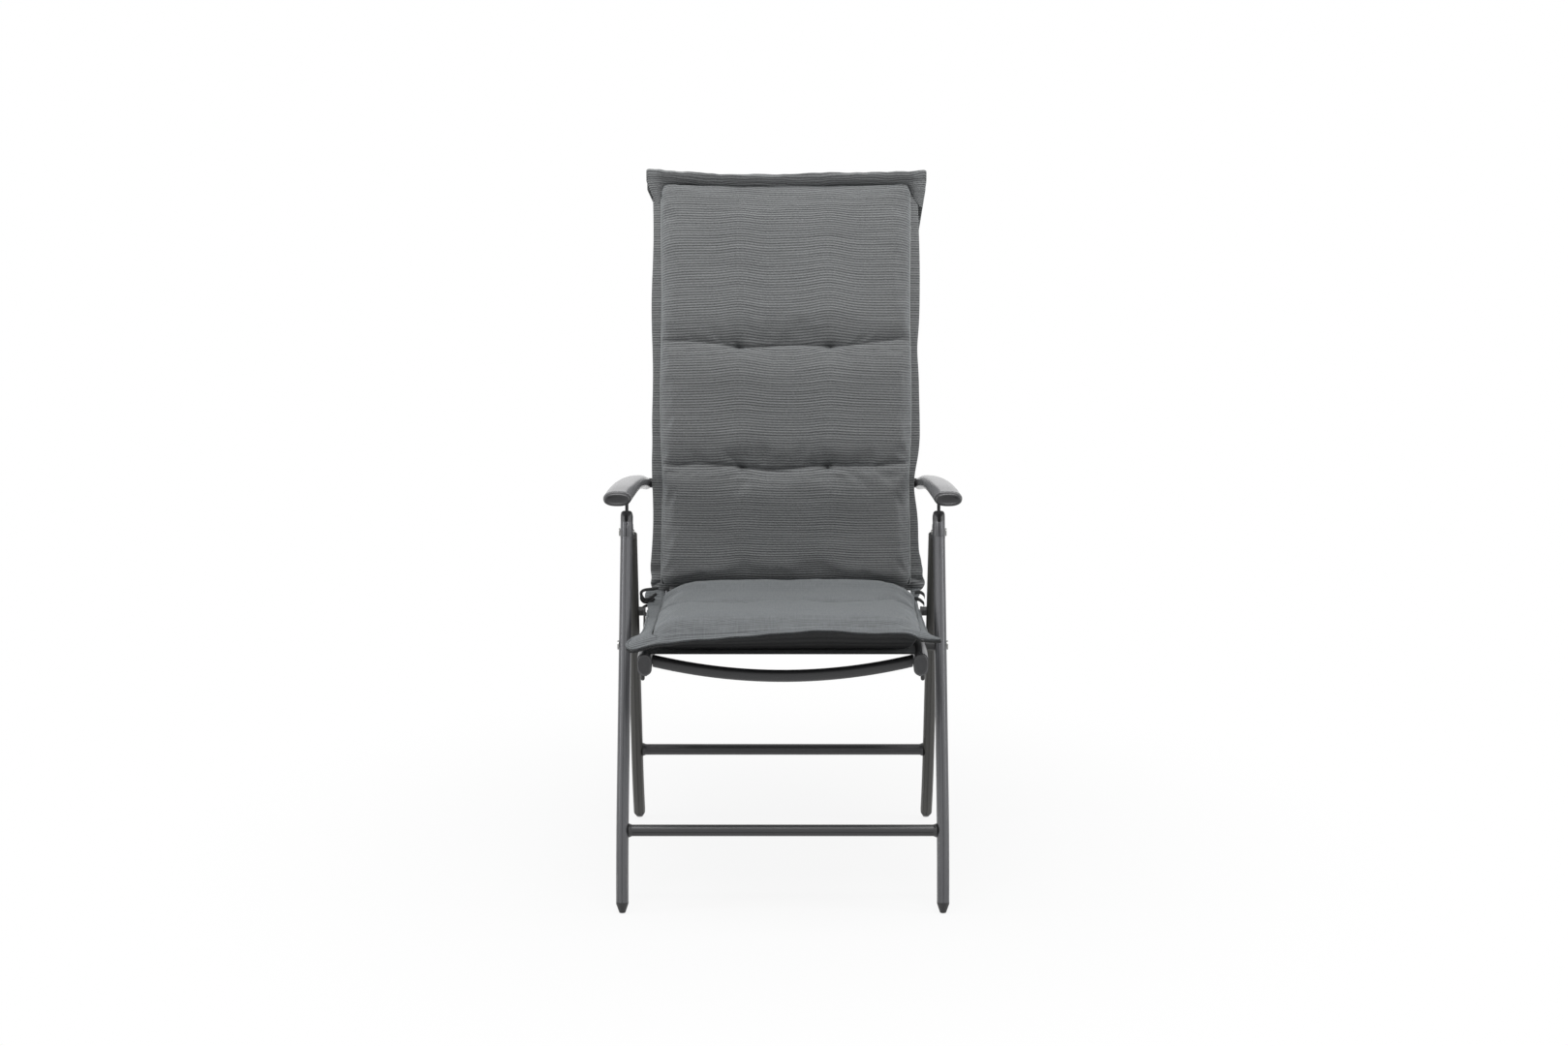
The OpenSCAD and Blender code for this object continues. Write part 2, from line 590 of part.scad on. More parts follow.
mirror([1, 0, 0]) front_leg();  // front_leg_left
front_leg();  // front_leg_right
front_crossbar();
front_feet();
mirror([1, 0, 0]) leg_cap();  // leg_cap_left
leg_cap();  // leg_cap_right
mirror([1, 0, 0]) lock_tongue();  // lock_tongue_left
lock_tongue();  // lock_tongue_right
leg_hinge_pins();
mirror([1, 0, 0]) rear_leg();  // rear_leg_left
rear_leg();  // rear_leg_right
rear_crossbar();
rear_feet();
rear_knuckles();
link_pins();
mirror([1, 0, 0]) seat_rail();  // seat_rail_left
seat_rail();  // seat_rail_right
seat_arc_bar();
seat_rear_bar();
seat_rail_caps();
seat_pivot_bolts();
seat_pivot_spacers();
link_brackets();
seat_sling();
seat_cushion();
mirror([1, 0, 0]) link();  // link_left
link();  // link_right
hinge_bushes();
hinge_plates();
mirror([1, 0, 0]) back_rail();  // back_rail_left
back_rail();  // back_rail_right
back_top_bow();
back_lower_bar();
back_rail_plugs();
back_hinge_pins();
back_sling();
back_cushion();
cushion_hood();
arm_studs();
mirror([1, 0, 0]) arm_bush();  // arm_bush_left
arm_bush();  // arm_bush_right
mirror([1, 0, 0]) armrest();  // armrest_left
armrest();  // armrest_right
mirror([1, 0, 0]) notch_rack();  // notch_rack_left
notch_rack();  // notch_rack_right
mirror([1, 0, 0]) arm_nose();  // arm_nose_left
arm_nose();  // arm_nose_right
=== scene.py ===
# %% [markdown]
# # A folding recliner chair with a padded high back
#
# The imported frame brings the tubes, hinges and plastic parts as they were drawn. This notebook gives them
# their finishes and adds what a drawing of solids can't hold: the quilted cushion, its flat border and
# hood, the slings, the ties and the shaped armrests.

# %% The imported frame
import json
import math

import bmesh
import bpy
import numpy as np
from mathutils import Matrix, Vector, noise


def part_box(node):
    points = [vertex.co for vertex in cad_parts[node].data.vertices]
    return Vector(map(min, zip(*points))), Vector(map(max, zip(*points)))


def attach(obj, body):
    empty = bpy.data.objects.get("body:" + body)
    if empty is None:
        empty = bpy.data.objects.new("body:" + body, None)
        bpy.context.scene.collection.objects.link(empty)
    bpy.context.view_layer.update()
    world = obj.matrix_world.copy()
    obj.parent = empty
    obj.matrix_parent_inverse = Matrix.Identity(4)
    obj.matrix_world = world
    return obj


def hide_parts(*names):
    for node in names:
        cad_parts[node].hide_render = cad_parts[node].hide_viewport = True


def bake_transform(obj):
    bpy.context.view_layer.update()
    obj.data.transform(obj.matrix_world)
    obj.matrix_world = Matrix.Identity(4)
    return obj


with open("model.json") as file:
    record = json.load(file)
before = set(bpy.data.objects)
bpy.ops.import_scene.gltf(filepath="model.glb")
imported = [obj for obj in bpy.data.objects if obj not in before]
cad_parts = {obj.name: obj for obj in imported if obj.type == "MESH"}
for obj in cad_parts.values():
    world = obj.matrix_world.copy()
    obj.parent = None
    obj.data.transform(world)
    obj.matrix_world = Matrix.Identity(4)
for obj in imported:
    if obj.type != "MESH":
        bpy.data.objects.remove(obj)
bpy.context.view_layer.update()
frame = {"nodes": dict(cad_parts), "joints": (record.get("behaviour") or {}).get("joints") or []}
nodes = frame["nodes"]
pivot = {joint["name"]: Vector(joint["pos_m"]) for joint in frame["joints"]}
scene = bpy.context.scene

# %% [markdown]
# ## Camera
# The chair is seen from well back through a long lens, from about the eye level of someone who stands. The
# uprights then stay nearly parallel and the seat shows a thin slice of its top.

# %% Camera
camera = bpy.data.objects.new("camera", bpy.data.cameras.new("camera"))
scene.collection.objects.link(camera)
camera.location = (0.002, -5.05, 1.684)
camera.rotation_euler = (math.radians(77.5), 0, 0)
camera.data.lens = 72.8
scene.camera = camera
scene.view_settings.view_transform = "Standard"
print("camera", round(camera.location.length, 2), "m away")

# %% [markdown]
# ## Floor and light
# The chair stands on a white sweep. One wide soft box hangs above and in front, and two tall strips beside
# the chair draw the bright lines along the outer edges of the legs. The floor is white to the camera, and
# near the feet it still shows the soft shadow.


# %% Floor and light
def add_node(tree, kind, **settings):
    """A shader or geometry node with its settings and constant inputs."""
    made = tree.nodes.new(kind)
    inputs = settings.pop("inputs", {})
    for key, value in settings.items():
        setattr(made, key, value)
    for key, value in inputs.items():
        made.inputs[key].default_value = value
    return made


def new_material(name):
    material = bpy.data.materials.new(name)
    material.use_nodes = True
    tree = material.node_tree
    return material, tree, tree.nodes["Principled BSDF"]


def seen_rays(tree):
    """1 where the camera or a mirror-like surface looks, and 0 for the light that falls on the chair."""
    path = add_node(tree, "ShaderNodeLightPath")
    both = add_node(tree, "ShaderNodeMath", operation="MAXIMUM")
    tree.links.new(path.outputs["Is Camera Ray"], both.inputs[0])
    tree.links.new(path.outputs["Is Glossy Ray"], both.inputs[1])
    return both.outputs["Value"]


def soft_box(name, place, aim, size, power):
    light = bpy.data.lights.new(name, "AREA")
    light.shape = "RECTANGLE"
    light.size, light.size_y = size
    light.energy = power
    lamp = bpy.data.objects.new(name, light)
    scene.collection.objects.link(lamp)
    lamp.location = place
    lamp.rotation_euler = (Vector(aim) - Vector(place)).to_track_quat("-Z", "Y").to_euler()
    return lamp


floor_mesh = bpy.data.meshes.new("floor")
floor_mesh.from_pydata([(-4, -4, 0), (4, -4, 0), (4, 4, 0), (-4, 4, 0)], [], [(0, 1, 2, 3)])
floor = bpy.data.objects.new("floor", floor_mesh)
floor.location = (0, 0, -0.0005)
scene.collection.objects.link(floor)

material, tree, shader = new_material("white sweep")
shader.inputs["Base Color"].default_value = (0.62, 0.62, 0.62, 1)
shader.inputs["Roughness"].default_value = 0.9
white = add_node(tree, "ShaderNodeEmission", inputs={"Color": (1, 1, 1, 1), "Strength": 1.0})
place = add_node(tree, "ShaderNodeTexCoord")
reach = add_node(tree, "ShaderNodeVectorMath", operation="LENGTH")
tree.links.new(place.outputs["Object"], reach.inputs[0])
fade = add_node(tree, "ShaderNodeMapRange",
                inputs={"From Min": 0.25, "From Max": 1.1, "To Min": 0.90, "To Max": 1.0})
fade.interpolation_type = "SMOOTHSTEP"
tree.links.new(reach.outputs["Value"], fade.inputs["Value"])
share = add_node(tree, "ShaderNodeMath", operation="MULTIPLY")
tree.links.new(fade.outputs["Result"], share.inputs[0])
tree.links.new(seen_rays(tree), share.inputs[1])
mix = add_node(tree, "ShaderNodeMixShader")
tree.links.new(share.outputs["Value"], mix.inputs["Fac"])
tree.links.new(shader.outputs["BSDF"], mix.inputs[1])
tree.links.new(white.outputs["Emission"], mix.inputs[2])
tree.links.new(mix.outputs["Shader"], tree.nodes["Material Output"].inputs["Surface"])
floor_mesh.materials.append(material)

world = bpy.data.worlds.new("studio")
world.use_nodes = True
scene.world = world
tree = world.node_tree
air = tree.nodes["Background"]
air.inputs["Color"].default_value = (0.95, 0.97, 1, 1)
air.inputs["Strength"].default_value = 0.20
backdrop = add_node(tree, "ShaderNodeBackground", inputs={"Color": (1, 1, 1, 1), "Strength": 1.0})
mix = add_node(tree, "ShaderNodeMixShader")
tree.links.new(seen_rays(tree), mix.inputs["Fac"])
tree.links.new(air.outputs["Background"], mix.inputs[1])
tree.links.new(backdrop.outputs["Background"], mix.inputs[2])
tree.links.new(mix.outputs["Shader"], tree.nodes["World Output"].inputs["Surface"])

soft_box("soft box above", (0, -0.75, 2.75), (0, 0.05, 0.6), (2.2, 1.5), 66)
soft_box("strip on the left", (-2.1, -0.5, 1.0), (0, 0, 0.5), (0.5, 2.2), 20)
soft_box("strip on the right", (2.1, -0.5, 1.0), (0, 0, 0.5), (0.5, 2.2), 18)
print("floor, backdrop and", len(bpy.data.lights), "lamps")

# %% [markdown]
# ## Finishes of the frame
# The tubes are powder coated: a satin skin with a very fine orange peel, a little darker in places. Moulded
# plastic is matt with a fine grain, and the steel pins are plain and slightly brushed.


# %% Finishes of the frame
def surface_finish(name, colour, roughness, metallic=0.0, grain=2500, depth=0.00004, mottle=0.06, sheen=0.0):
    """Colour with faint mottling, and a fine grain that breaks up its shine."""
    material, tree, shader = new_material(name)
    place = add_node(tree, "ShaderNodeTexCoord")
    cloud = add_node(tree, "ShaderNodeTexNoise", inputs={"Scale": 9.0, "Detail": 4.0})
    tree.links.new(place.outputs["Object"], cloud.inputs["Vector"])
    shade = add_node(tree, "ShaderNodeMapRange", inputs={"To Min": 1 - mottle, "To Max": 1 + mottle})
    tree.links.new(cloud.outputs["Fac"], shade.inputs["Value"])
    tint = add_node(tree, "ShaderNodeVectorMath", operation="SCALE")
    tint.inputs[0].default_value = colour
    tree.links.new(shade.outputs["Result"], tint.inputs["Scale"])
    tree.links.new(tint.outputs["Vector"], shader.inputs["Base Color"])
    fine = add_node(tree, "ShaderNodeTexNoise", inputs={"Scale": float(grain), "Detail": 2.0})
    tree.links.new(place.outputs["Object"], fine.inputs["Vector"])
    rough = add_node(tree, "ShaderNodeMapRange",
                     inputs={"To Min": roughness - 0.05, "To Max": roughness + 0.05})
    tree.links.new(fine.outputs["Fac"], rough.inputs["Value"])
    tree.links.new(rough.outputs["Result"], shader.inputs["Roughness"])
    bump = add_node(tree, "ShaderNodeBump", inputs={"Strength": 0.6, "Distance": depth})
    tree.links.new(fine.outputs["Fac"], bump.inputs["Height"])
    tree.links.new(bump.outputs["Normal"], shader.inputs["Normal"])
    shader.inputs["Metallic"].default_value = metallic
    shader.inputs["Sheen Weight"].default_value = sheen
    return material


coat = surface_finish("powder coat", (0.112, 0.113, 0.119), 0.30, 0.5)
# The rear legs take a darker copy of the powder coat, which is painted shade.
coat_rear_shaded = surface_finish("powder coat in the shade", (0.070, 0.069, 0.064), 0.45, 0.2)
# The crossbars, the arc bar and the bars under the seat take a darker copy of the powder coat, which is
# painted shade.
coat_bars_shaded = surface_finish("powder coat on the bars", (0.050, 0.050, 0.052), 0.40, 0.2)
plastic = surface_finish("moulded plastic", (0.022, 0.022, 0.023), 0.48, grain=1400, depth=0.00008)
cap_plastic = surface_finish("grey cap plastic", (0.050, 0.050, 0.053), 0.40, grain=1400, depth=0.00006)
arm_plastic = surface_finish("satin armrest plastic", (0.125, 0.125, 0.130), 0.19, grain=1800, depth=0.00005)
nose_plastic = surface_finish("armrest nose plastic", (0.030, 0.030, 0.032), 0.30, grain=1800, depth=0.00004)
steel = surface_finish("zinc plated steel", (0.36, 0.36, 0.35), 0.34, 0.9, grain=700, depth=0.00002)
dark_steel = surface_finish("blackened steel", (0.035, 0.035, 0.036), 0.42, 0.4, grain=900)
GROOVE_SHADE_HALF_WIDTH = 0.0006


def two_tone(lower, upper, level, groove_shade_lines):
    """Coat up to a height and cap above it, with thin dark lines on the coat as painted shade of the tube's
    grooves. Their places across are given in metres.
    """
    material = lower.copy()
    material.name = lower.name + " below " + upper.name
    tree = material.node_tree
    place = next(n for n in tree.nodes if n.type == "TEX_COORD")
    split = add_node(tree, "ShaderNodeSeparateXYZ")
    tree.links.new(place.outputs["Object"], split.inputs["Vector"])
    above = add_node(tree, "ShaderNodeMath", operation="GREATER_THAN")
    above.inputs[1].default_value = level
    tree.links.new(split.outputs["Z"], above.inputs[0])
    shader = tree.nodes["Principled BSDF"]
    cap = tree.nodes.new("ShaderNodeBsdfPrincipled")
    other = next(n for n in upper.node_tree.nodes if n.type == "VECT_MATH").inputs[0].default_value
    cap.inputs["Base Color"].default_value = (*other, 1)
    cap.inputs["Roughness"].default_value = 0.42
    mix = add_node(tree, "ShaderNodeMixShader")
    tree.links.new(above.outputs["Value"], mix.inputs["Fac"])
    tree.links.new(shader.outputs["BSDF"], mix.inputs[1])
    colour = shader.inputs["Base Color"].links[0].from_socket
    for groove in groove_shade_lines:
        on_line = add_node(tree, "ShaderNodeMath", operation="COMPARE",
                           inputs={1: groove, 2: GROOVE_SHADE_HALF_WIDTH})
        tree.links.new(split.outputs["X"], on_line.inputs[0])
        # Each line is painted shade, as dark as the inside of a groove.
        groove_shade = add_node(tree, "ShaderNodeMix", data_type="RGBA", inputs={"B": (0.020, 0.020, 0.021, 1)})
        tree.links.new(on_line.outputs["Value"], groove_shade.inputs["Factor"])
        tree.links.new(colour, groove_shade.inputs["A"])
        colour = groove_shade.outputs["Result"]
    tree.links.new(colour, shader.inputs["Base Color"])
    tree.links.new(cap.outputs["BSDF"], mix.inputs[2])
    tree.links.new(mix.outputs["Shader"], tree.nodes["Material Output"].inputs["Surface"])
    return material


# A part takes the finish of the first of these that its name starts with.
FINISH = {
    "rear_leg": coat_rear_shaded,
    "rear_crossbar": coat_bars_shaded,
    "front_crossbar": coat_bars_shaded,
    "seat_arc_bar": coat_bars_shaded,
    "seat_rail_caps": cap_plastic,
    "seat_rail": coat,
    "front_leg": coat,
    "leg_cap": cap_plastic,
    "leg_hinge_pins": steel,
    "lock_tongue": dark_steel,
    "link_pins": dark_steel,
    "link_brackets": coat_bars_shaded,
    "link": dark_steel,
    "seat_pivot_bolts": steel,
    "back_hinge_pins": steel,
    "arm_studs": dark_steel,
    "seat_rear_bar": coat_bars_shaded,
    "back_rail_plugs": plastic,
    "back_rail": coat,
    "back_top_bow": coat,
    "back_lower_bar": coat_bars_shaded,
    "arm_nose": nose_plastic,
}
for name, part in nodes.items():
    finish = next((FINISH[start] for start in FINISH if name.startswith(start)), plastic)
    if not part.material_slots:
        part.data.materials.append(finish)
    for holder in part.material_slots:
        holder.material = finish
print("finished", len(nodes), "parts")

# %% [markdown]
# ## Cloth
# The cover is woven in narrow dark and light bands that run across the cushion, with a broader rhythm laid
# over them. Every soft piece carries its own lay of the cloth in metres, so that the bands follow each fold
# and tuft.


# %% Cloth
BROAD_SHARE, STREAK_SHARE, SPECKLE_SHARE, THREAD_SHARE = 0.12, 0.55, 1.3, 0.25


def cloth_finish(name, dark, light, band=0.0041, broad=0.0113, thread=0.0009, fuzz=0.35, speckles=(260, 900)):
    """Woven bands across the piece, from its own map: x across and y along, in metres."""
    material, tree, shader = new_material(name)
    lay = add_node(tree, "ShaderNodeUVMap", uv_map="lay")
    split = add_node(tree, "ShaderNodeSeparateXYZ")
    tree.links.new(lay.outputs["UV"], split.inputs["Vector"])

    def wave(source, period, shift=0.0):
        turn = add_node(tree, "ShaderNodeMath", operation="MULTIPLY_ADD")
        turn.inputs[1].default_value = 2 * math.pi / period
        turn.inputs[2].default_value = shift
        tree.links.new(source, turn.inputs[0])
        swing = add_node(tree, "ShaderNodeMath", operation="SINE")
        tree.links.new(turn.outputs["Value"], swing.inputs[0])
        return swing.outputs["Value"]

    def add(first, second, share):
        total = add_node(tree, "ShaderNodeMath", operation="MULTIPLY_ADD")
        total.inputs[1].default_value = share
        tree.links.new(second, total.inputs[0])
        tree.links.new(first, total.inputs[2])
        return total.outputs["Value"]

    narrow = wave(split.outputs["Y"], band)
    bands = add(narrow, wave(split.outputs["Y"], broad, 1.0), BROAD_SHARE)
    streaks = add_node(tree, "ShaderNodeTexNoise", inputs={"Scale": 1.0, "Detail": 3.0, "Roughness": 0.7})
    drawn = add_node(tree, "ShaderNodeVectorMath", operation="MULTIPLY")
    drawn.inputs[1].default_value = (7, 330, 1)
    tree.links.new(lay.outputs["UV"], drawn.inputs[0])
    tree.links.new(drawn.outputs["Vector"], streaks.inputs["Vector"])
    uneven = add_node(tree, "ShaderNodeMapRange",
                      inputs={"From Min": 0.25, "From Max": 0.75, "To Min": -1.0, "To Max": 1.0})
    tree.links.new(streaks.outputs["Fac"], uneven.inputs["Value"])
    bands = add(bands, uneven.outputs["Result"], STREAK_SHARE)
    speckle = add_node(tree, "ShaderNodeTexNoise", inputs={"Scale": 1.0, "Detail": 2.0})
    stretch = add_node(tree, "ShaderNodeVectorMath", operation="MULTIPLY")
    stretch.inputs[1].default_value = (*speckles, 1)
    tree.links.new(lay.outputs["UV"], stretch.inputs[0])
    tree.links.new(stretch.outputs["Vector"], speckle.inputs["Vector"])
    centred = add_node(tree, "ShaderNodeMapRange", inputs={"To Min": -1.0, "To Max": 1.0})
    tree.links.new(speckle.outputs["Fac"], centred.inputs["Value"])
    worn = add(bands, centred.outputs["Result"], SPECKLE_SHARE)
    threads = wave(split.outputs["X"], thread)
    woven = add(worn, threads, THREAD_SHARE)
    level = add_node(tree, "ShaderNodeMapRange", inputs={"From Min": -1.6, "From Max": 1.6})
    tree.links.new(woven, level.inputs["Value"])
    blend = add_node(tree, "ShaderNodeMix", data_type="RGBA")
    blend.inputs["A"].default_value = (*dark, 1)
    blend.inputs["B"].default_value = (*light, 1)
    tree.links.new(level.outputs["Result"], blend.inputs["Factor"])
    tree.links.new(blend.outputs["Result"], shader.inputs["Base Color"])
    bump = add_node(tree, "ShaderNodeBump", inputs={"Strength": 0.5, "Distance": 0.0005})
    tree.links.new(add(narrow, threads, 0.5), bump.inputs["Height"])
    tree.links.new(bump.outputs["Normal"], shader.inputs["Normal"])
    shader.inputs["Roughness"].default_value = 0.86
    shader.inputs["Sheen Weight"].default_value = fuzz
    shader.inputs["Sheen Roughness"].default_value = 0.5
    shader.inputs["Sheen Tint"].default_value = (0.92, 0.97, 1.0, 1)
    return material


cover = cloth_finish("banded cover cloth", (0.013, 0.013, 0.014), (0.198, 0.204, 0.205))
# The seat's copy of the cover cloth is bluish, which is painted sheen of the light from above.
cover_seat_sheen_tinted = cloth_finish("banded cover cloth of the seat", (0.032, 0.034, 0.036), (0.152, 0.162, 0.167),
                          speckles=(380, 40))
# The cloth of the undersides and of the tie ends is darkened, which is painted shade.
cover_under_shaded = cloth_finish("cover cloth underneath", (0.003, 0.003, 0.004), (0.030, 0.031, 0.031), fuzz=0.05)
piping = cloth_finish("piping", (0.17, 0.175, 0.175), (0.30, 0.31, 0.31), thread=0.002)
sling_cloth = cloth_finish("black sling mesh", (0.006, 0.006, 0.006), (0.030, 0.030, 0.030), 0.0016, 0.0032,
                           0.0016)
webbing = cloth_finish("black webbing", (0.006, 0.006, 0.006), (0.018, 0.018, 0.018), 0.0012, 0.006, 0.0012,
                       fuzz=0.05)
print("cloth:", cover.name, sling_cloth.name, webbing.name)

# %% [markdown]
# ## Lines of the chair
# Seat and back are drawn flat, as a pattern cutter would, and then laid along the rails. On the back a
# point is so far across, so far up the rails from the hinge and so far out towards the sitter. On the seat
# it is so far across, so far forward of the hinge and so far up.

# %% Lines of the chair
HINGE = pivot["back_fold"]
BACK_LEAN, BACK_STRAIGHT, BACK_CURVE = math.radians(7), 0.252, 1.3
SEAT_RISE, SEAT_STRAIGHT, SEAT_CURVE = math.radians(6.3), 0.420, 0.2


def on_back(points):
    across, up, out = np.asarray(points, float).reshape(-1, 3).T
    lean = BACK_LEAN + np.maximum(up - BACK_STRAIGHT, 0) / BACK_CURVE
    straight = np.minimum(up, BACK_STRAIGHT)
    y = HINGE.y + straight * math.sin(BACK_LEAN) + BACK_CURVE * (math.cos(BACK_LEAN) - np.cos(lean))
    z = HINGE.z + straight * math.cos(BACK_LEAN) + BACK_CURVE * (np.sin(lean) - math.sin(BACK_LEAN))
    return np.stack([across, y - out * np.cos(lean), z + out * np.sin(lean)], 1)


def on_seat(points):
    across, along, up = np.asarray(points, float).reshape(-1, 3).T
    bend = np.maximum(along - SEAT_STRAIGHT, 0) / SEAT_CURVE
    ahead = np.array([-math.cos(SEAT_RISE), math.sin(SEAT_RISE)])
    above = np.array([math.sin(SEAT_RISE), math.cos(SEAT_RISE)])
    side = np.array([HINGE.y, HINGE.z]) + np.minimum(along, SEAT_STRAIGHT)[:, None] * ahead
    side = side + SEAT_CURVE * ((np.cos(bend) - 1)[:, None] * above + np.sin(bend)[:, None] * ahead)
    side = side + up[:, None] * (np.cos(bend)[:, None] * above + np.sin(bend)[:, None] * ahead)
    return np.column_stack([across, side])


def ripple(points, size, seed=0.0):
    """Smooth, repeatable waviness between -1 and 1."""
    return np.array([noise.noise(Vector(p) / size + Vector((seed, seed, seed))) for p in points])


def make_piece(name, points, faces, lay, finish, body):
    """A finished mesh with its own map, on one body. lay is (x, y) in metres for each point."""
    mesh = bpy.data.meshes.new(name)
    mesh.from_pydata([tuple(p) for p in points], [], [tuple(f) for f in faces])
    uv = mesh.uv_layers.new(name="lay")
    corners = np.empty(len(mesh.loops), int)
    mesh.loops.foreach_get("vertex_index", corners)
    uv.data.foreach_set("uv", np.asarray(lay, float)[corners].ravel())
    mesh.polygons.foreach_set("use_smooth", [True] * len(mesh.polygons))
    mesh.materials.append(finish)
    piece = bpy.data.objects.new(name.replace(" ", "_"), mesh)
    scene.collection.objects.link(piece)
    piece["body"] = body
    return piece


def hump(value, middle, width):
    """A smooth rise to 1 at the middle, that has faded at about twice the width from it."""
    return np.exp(-(((value - middle) / width) ** 2))


def from_work(name, work):
    """A new object in the scene from a working mesh, which is freed."""
    mesh = bpy.data.meshes.new(name)
    work.to_mesh(mesh)
    work.free()
    made = bpy.data.objects.new(name, mesh)
    scene.collection.objects.link(made)
    return made


def bake(piece):
    """Applies the modifiers, and turns every face outward."""
    graph = bpy.context.evaluated_depsgraph_get()
    mesh = bpy.data.meshes.new_from_object(piece.evaluated_get(graph))
    piece.modifiers.clear()
    old = piece.data
    piece.data = mesh
    bpy.data.meshes.remove(old)
    work = bmesh.new()
    work.from_mesh(mesh)
    bmesh.ops.recalc_face_normals(work, faces=work.faces)
    work.to_mesh(mesh)
    work.free()
    return piece


def smooth(piece, thickness=0.0, levels=1, offset=0.0):
    """Gives a sheet its thickness, subdivides it and applies both."""
    if thickness:
        solid = piece.modifiers.new("thickness", "SOLIDIFY")
        solid.thickness = thickness
        solid.offset = offset
    if levels:
        fine = piece.modifiers.new("fine", "SUBSURF")
        fine.levels = fine.render_levels = levels
    return bake(piece)


def sheet_faces(rows, columns):
    return [(r * columns + c, r * columns + c + 1, (r + 1) * columns + c + 1, (r + 1) * columns + c)
            for r in range(rows - 1) for c in range(columns - 1)]


print("hinge of the back at", tuple(round(v, 3) for v in HINGE))

# %% [markdown]
# ## Slings
# Under the cushion a black mesh cloth is stretched between the rails, its hems drawn into a slot in each
# tube. It gives a little in the middle. It is cut flat and laid on the rails, with no pull along the chair.


# %% Slings
def stretched_sling(name, half, start, end, height, sag, lay_on, body, node):
    columns, rows = 25, 45
    x, along = np.meshgrid(np.linspace(-half, half, columns), np.linspace(start, end, rows))
    hollow = np.sin(math.pi * (along - start) / (end - start)).clip(0) ** 0.5 * (1 - (x / half) ** 2)
    flat = np.stack([x, along, height - sag * hollow], -1).reshape(-1, 3)
    piece = make_piece(name, lay_on(flat), sheet_faces(rows, columns), flat[:, :2], sling_cloth, body)
    smooth(piece, 0.0014, 0)
    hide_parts(node)
    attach(piece, body)
    return piece


seat_sling = stretched_sling("seat sling", 0.205, 0.026, 0.464, 0.0157, 0.004, on_seat, "seat", "seat_sling")
back_sling = stretched_sling("back sling", 0.185, 0.042, 0.640, 0.0103, 0.004, on_back, "back", "back_sling")
print("slings", [round(o.dimensions.x, 3) for o in (seat_sling, back_sling)])

# %% [markdown]
# ## Stuffed pads
# A cushion panel is two layers of cloth sewn together all round, with foam and wadding between them. The
# upper layer rises steeply from its seam and then crowns. Where it is tacked through, at the tufts, it is
# drawn down to the foam, and the slack cloth between two tacks folds into a crease. Each pad is drawn flat
# on a fine grid, swollen and wrinkled by a short cloth simulation with its seams and tacks held, and then
# laid on the chair.


# %% Stuffed pads
def spread(count):
    """Steps from 0 to 1 that are closer together near both ends."""
    even = np.linspace(0, 1, count)
    return 0.45 * even + 0.275 * (1 - np.cos(math.pi * even))


def crown(distance, width, power=2.5):
    """Rise of the cover, from 0 at its seam to 1 at that width from it."""
    inside = np.clip(distance / width, 0, 1)
    return (1 - (1 - inside) ** power) ** (1 / power)


def pillow(name, across, along, top, under, pull, finish, body):
    """A closed pad from grids of places and heights. The layers meet at the rim."""
    rows, columns = across.shape
    upper = np.arange(rows * columns).reshape(rows, columns)
    lower = upper.copy()
    lower[1:-1, 1:-1] = rows * columns + np.arange((rows - 2) * (columns - 2)).reshape(rows - 2, columns - 2)
    inner = (slice(1, -1), slice(1, -1))
    points = np.vstack([np.stack([across, along, top], -1).reshape(-1, 3),
                        np.stack([across, along, under], -1)[inner].reshape(-1, 3)])
    lay = np.vstack([np.stack([across, along - pull], -1).reshape(-1, 2),
                     np.stack([across, along], -1)[inner].reshape(-1, 2)])
    faces = []
    for grid, turned in ((upper, 1), (lower, -1)):
        quads = np.stack([grid[:-1, :-1], grid[:-1, 1:], grid[1:, 1:], grid[1:, :-1]], -1).reshape(-1, 4)
        faces += quads[:, ::turned].tolist()
    pad = make_piece(name, points, faces, lay, finish, body)
    # The lower layer takes the darkened cloth, which is painted shade.
    pad.data.materials.append(cover_under_shaded)
    half = len(faces) // 2
    pad.data.polygons.foreach_set("material_index", [0] * half + [1] * half)
    held = np.ones(len(points), bool)
    held[upper[1:-1, 1:-1].ravel()] = False
    return pad, held


def swell(pad, held, pressure=4.0, slack=0.03, most=0.008):
    """Lets the cover swell and wrinkle round everything that is sewn down."""
    start = np.array([v.co for v in pad.data.vertices])
    group = pad.vertex_groups.new(name="sewn down")
    group.add([int(i) for i in np.flatnonzero(held)], 1.0, "REPLACE")
    cloth = pad.modifiers.new("cloth", "CLOTH")
    cloth.settings.vertex_group_mass = group.name
    cloth.settings.use_pressure = True
    cloth.settings.uniform_pressure_force = pressure
    cloth.settings.shrink_min = -slack
    cloth.settings.quality = 8
    cloth.settings.effector_weights.gravity = 0
    cloth.collision_settings.use_collision = False
    cloth.point_cache.frame_start, cloth.point_cache.frame_end = 1, 20
    for moment in range(1, 21):
        scene.frame_set(moment)
    mesh = pad.evaluated_get(bpy.context.evaluated_depsgraph_get()).to_mesh()
    moved = np.array([v.co for v in mesh.vertices]) - start
    pad.modifiers.clear()
    scene.frame_set(1)
    length = np.linalg.norm(moved, axis=1, keepdims=True)
    moved *= most * np.tanh(length / most) / np.maximum(length, 1e-9)
    pad.data.vertices.foreach_set("co", (start + moved).ravel())
    pad.vertex_groups.clear()


def lay_down(piece, lay_on):
    flat = np.empty(len(piece.data.vertices) * 3)
    piece.data.vertices.foreach_get("co", flat)
    piece.data.vertices.foreach_set("co", lay_on(flat).ravel())
    piece.data.update()


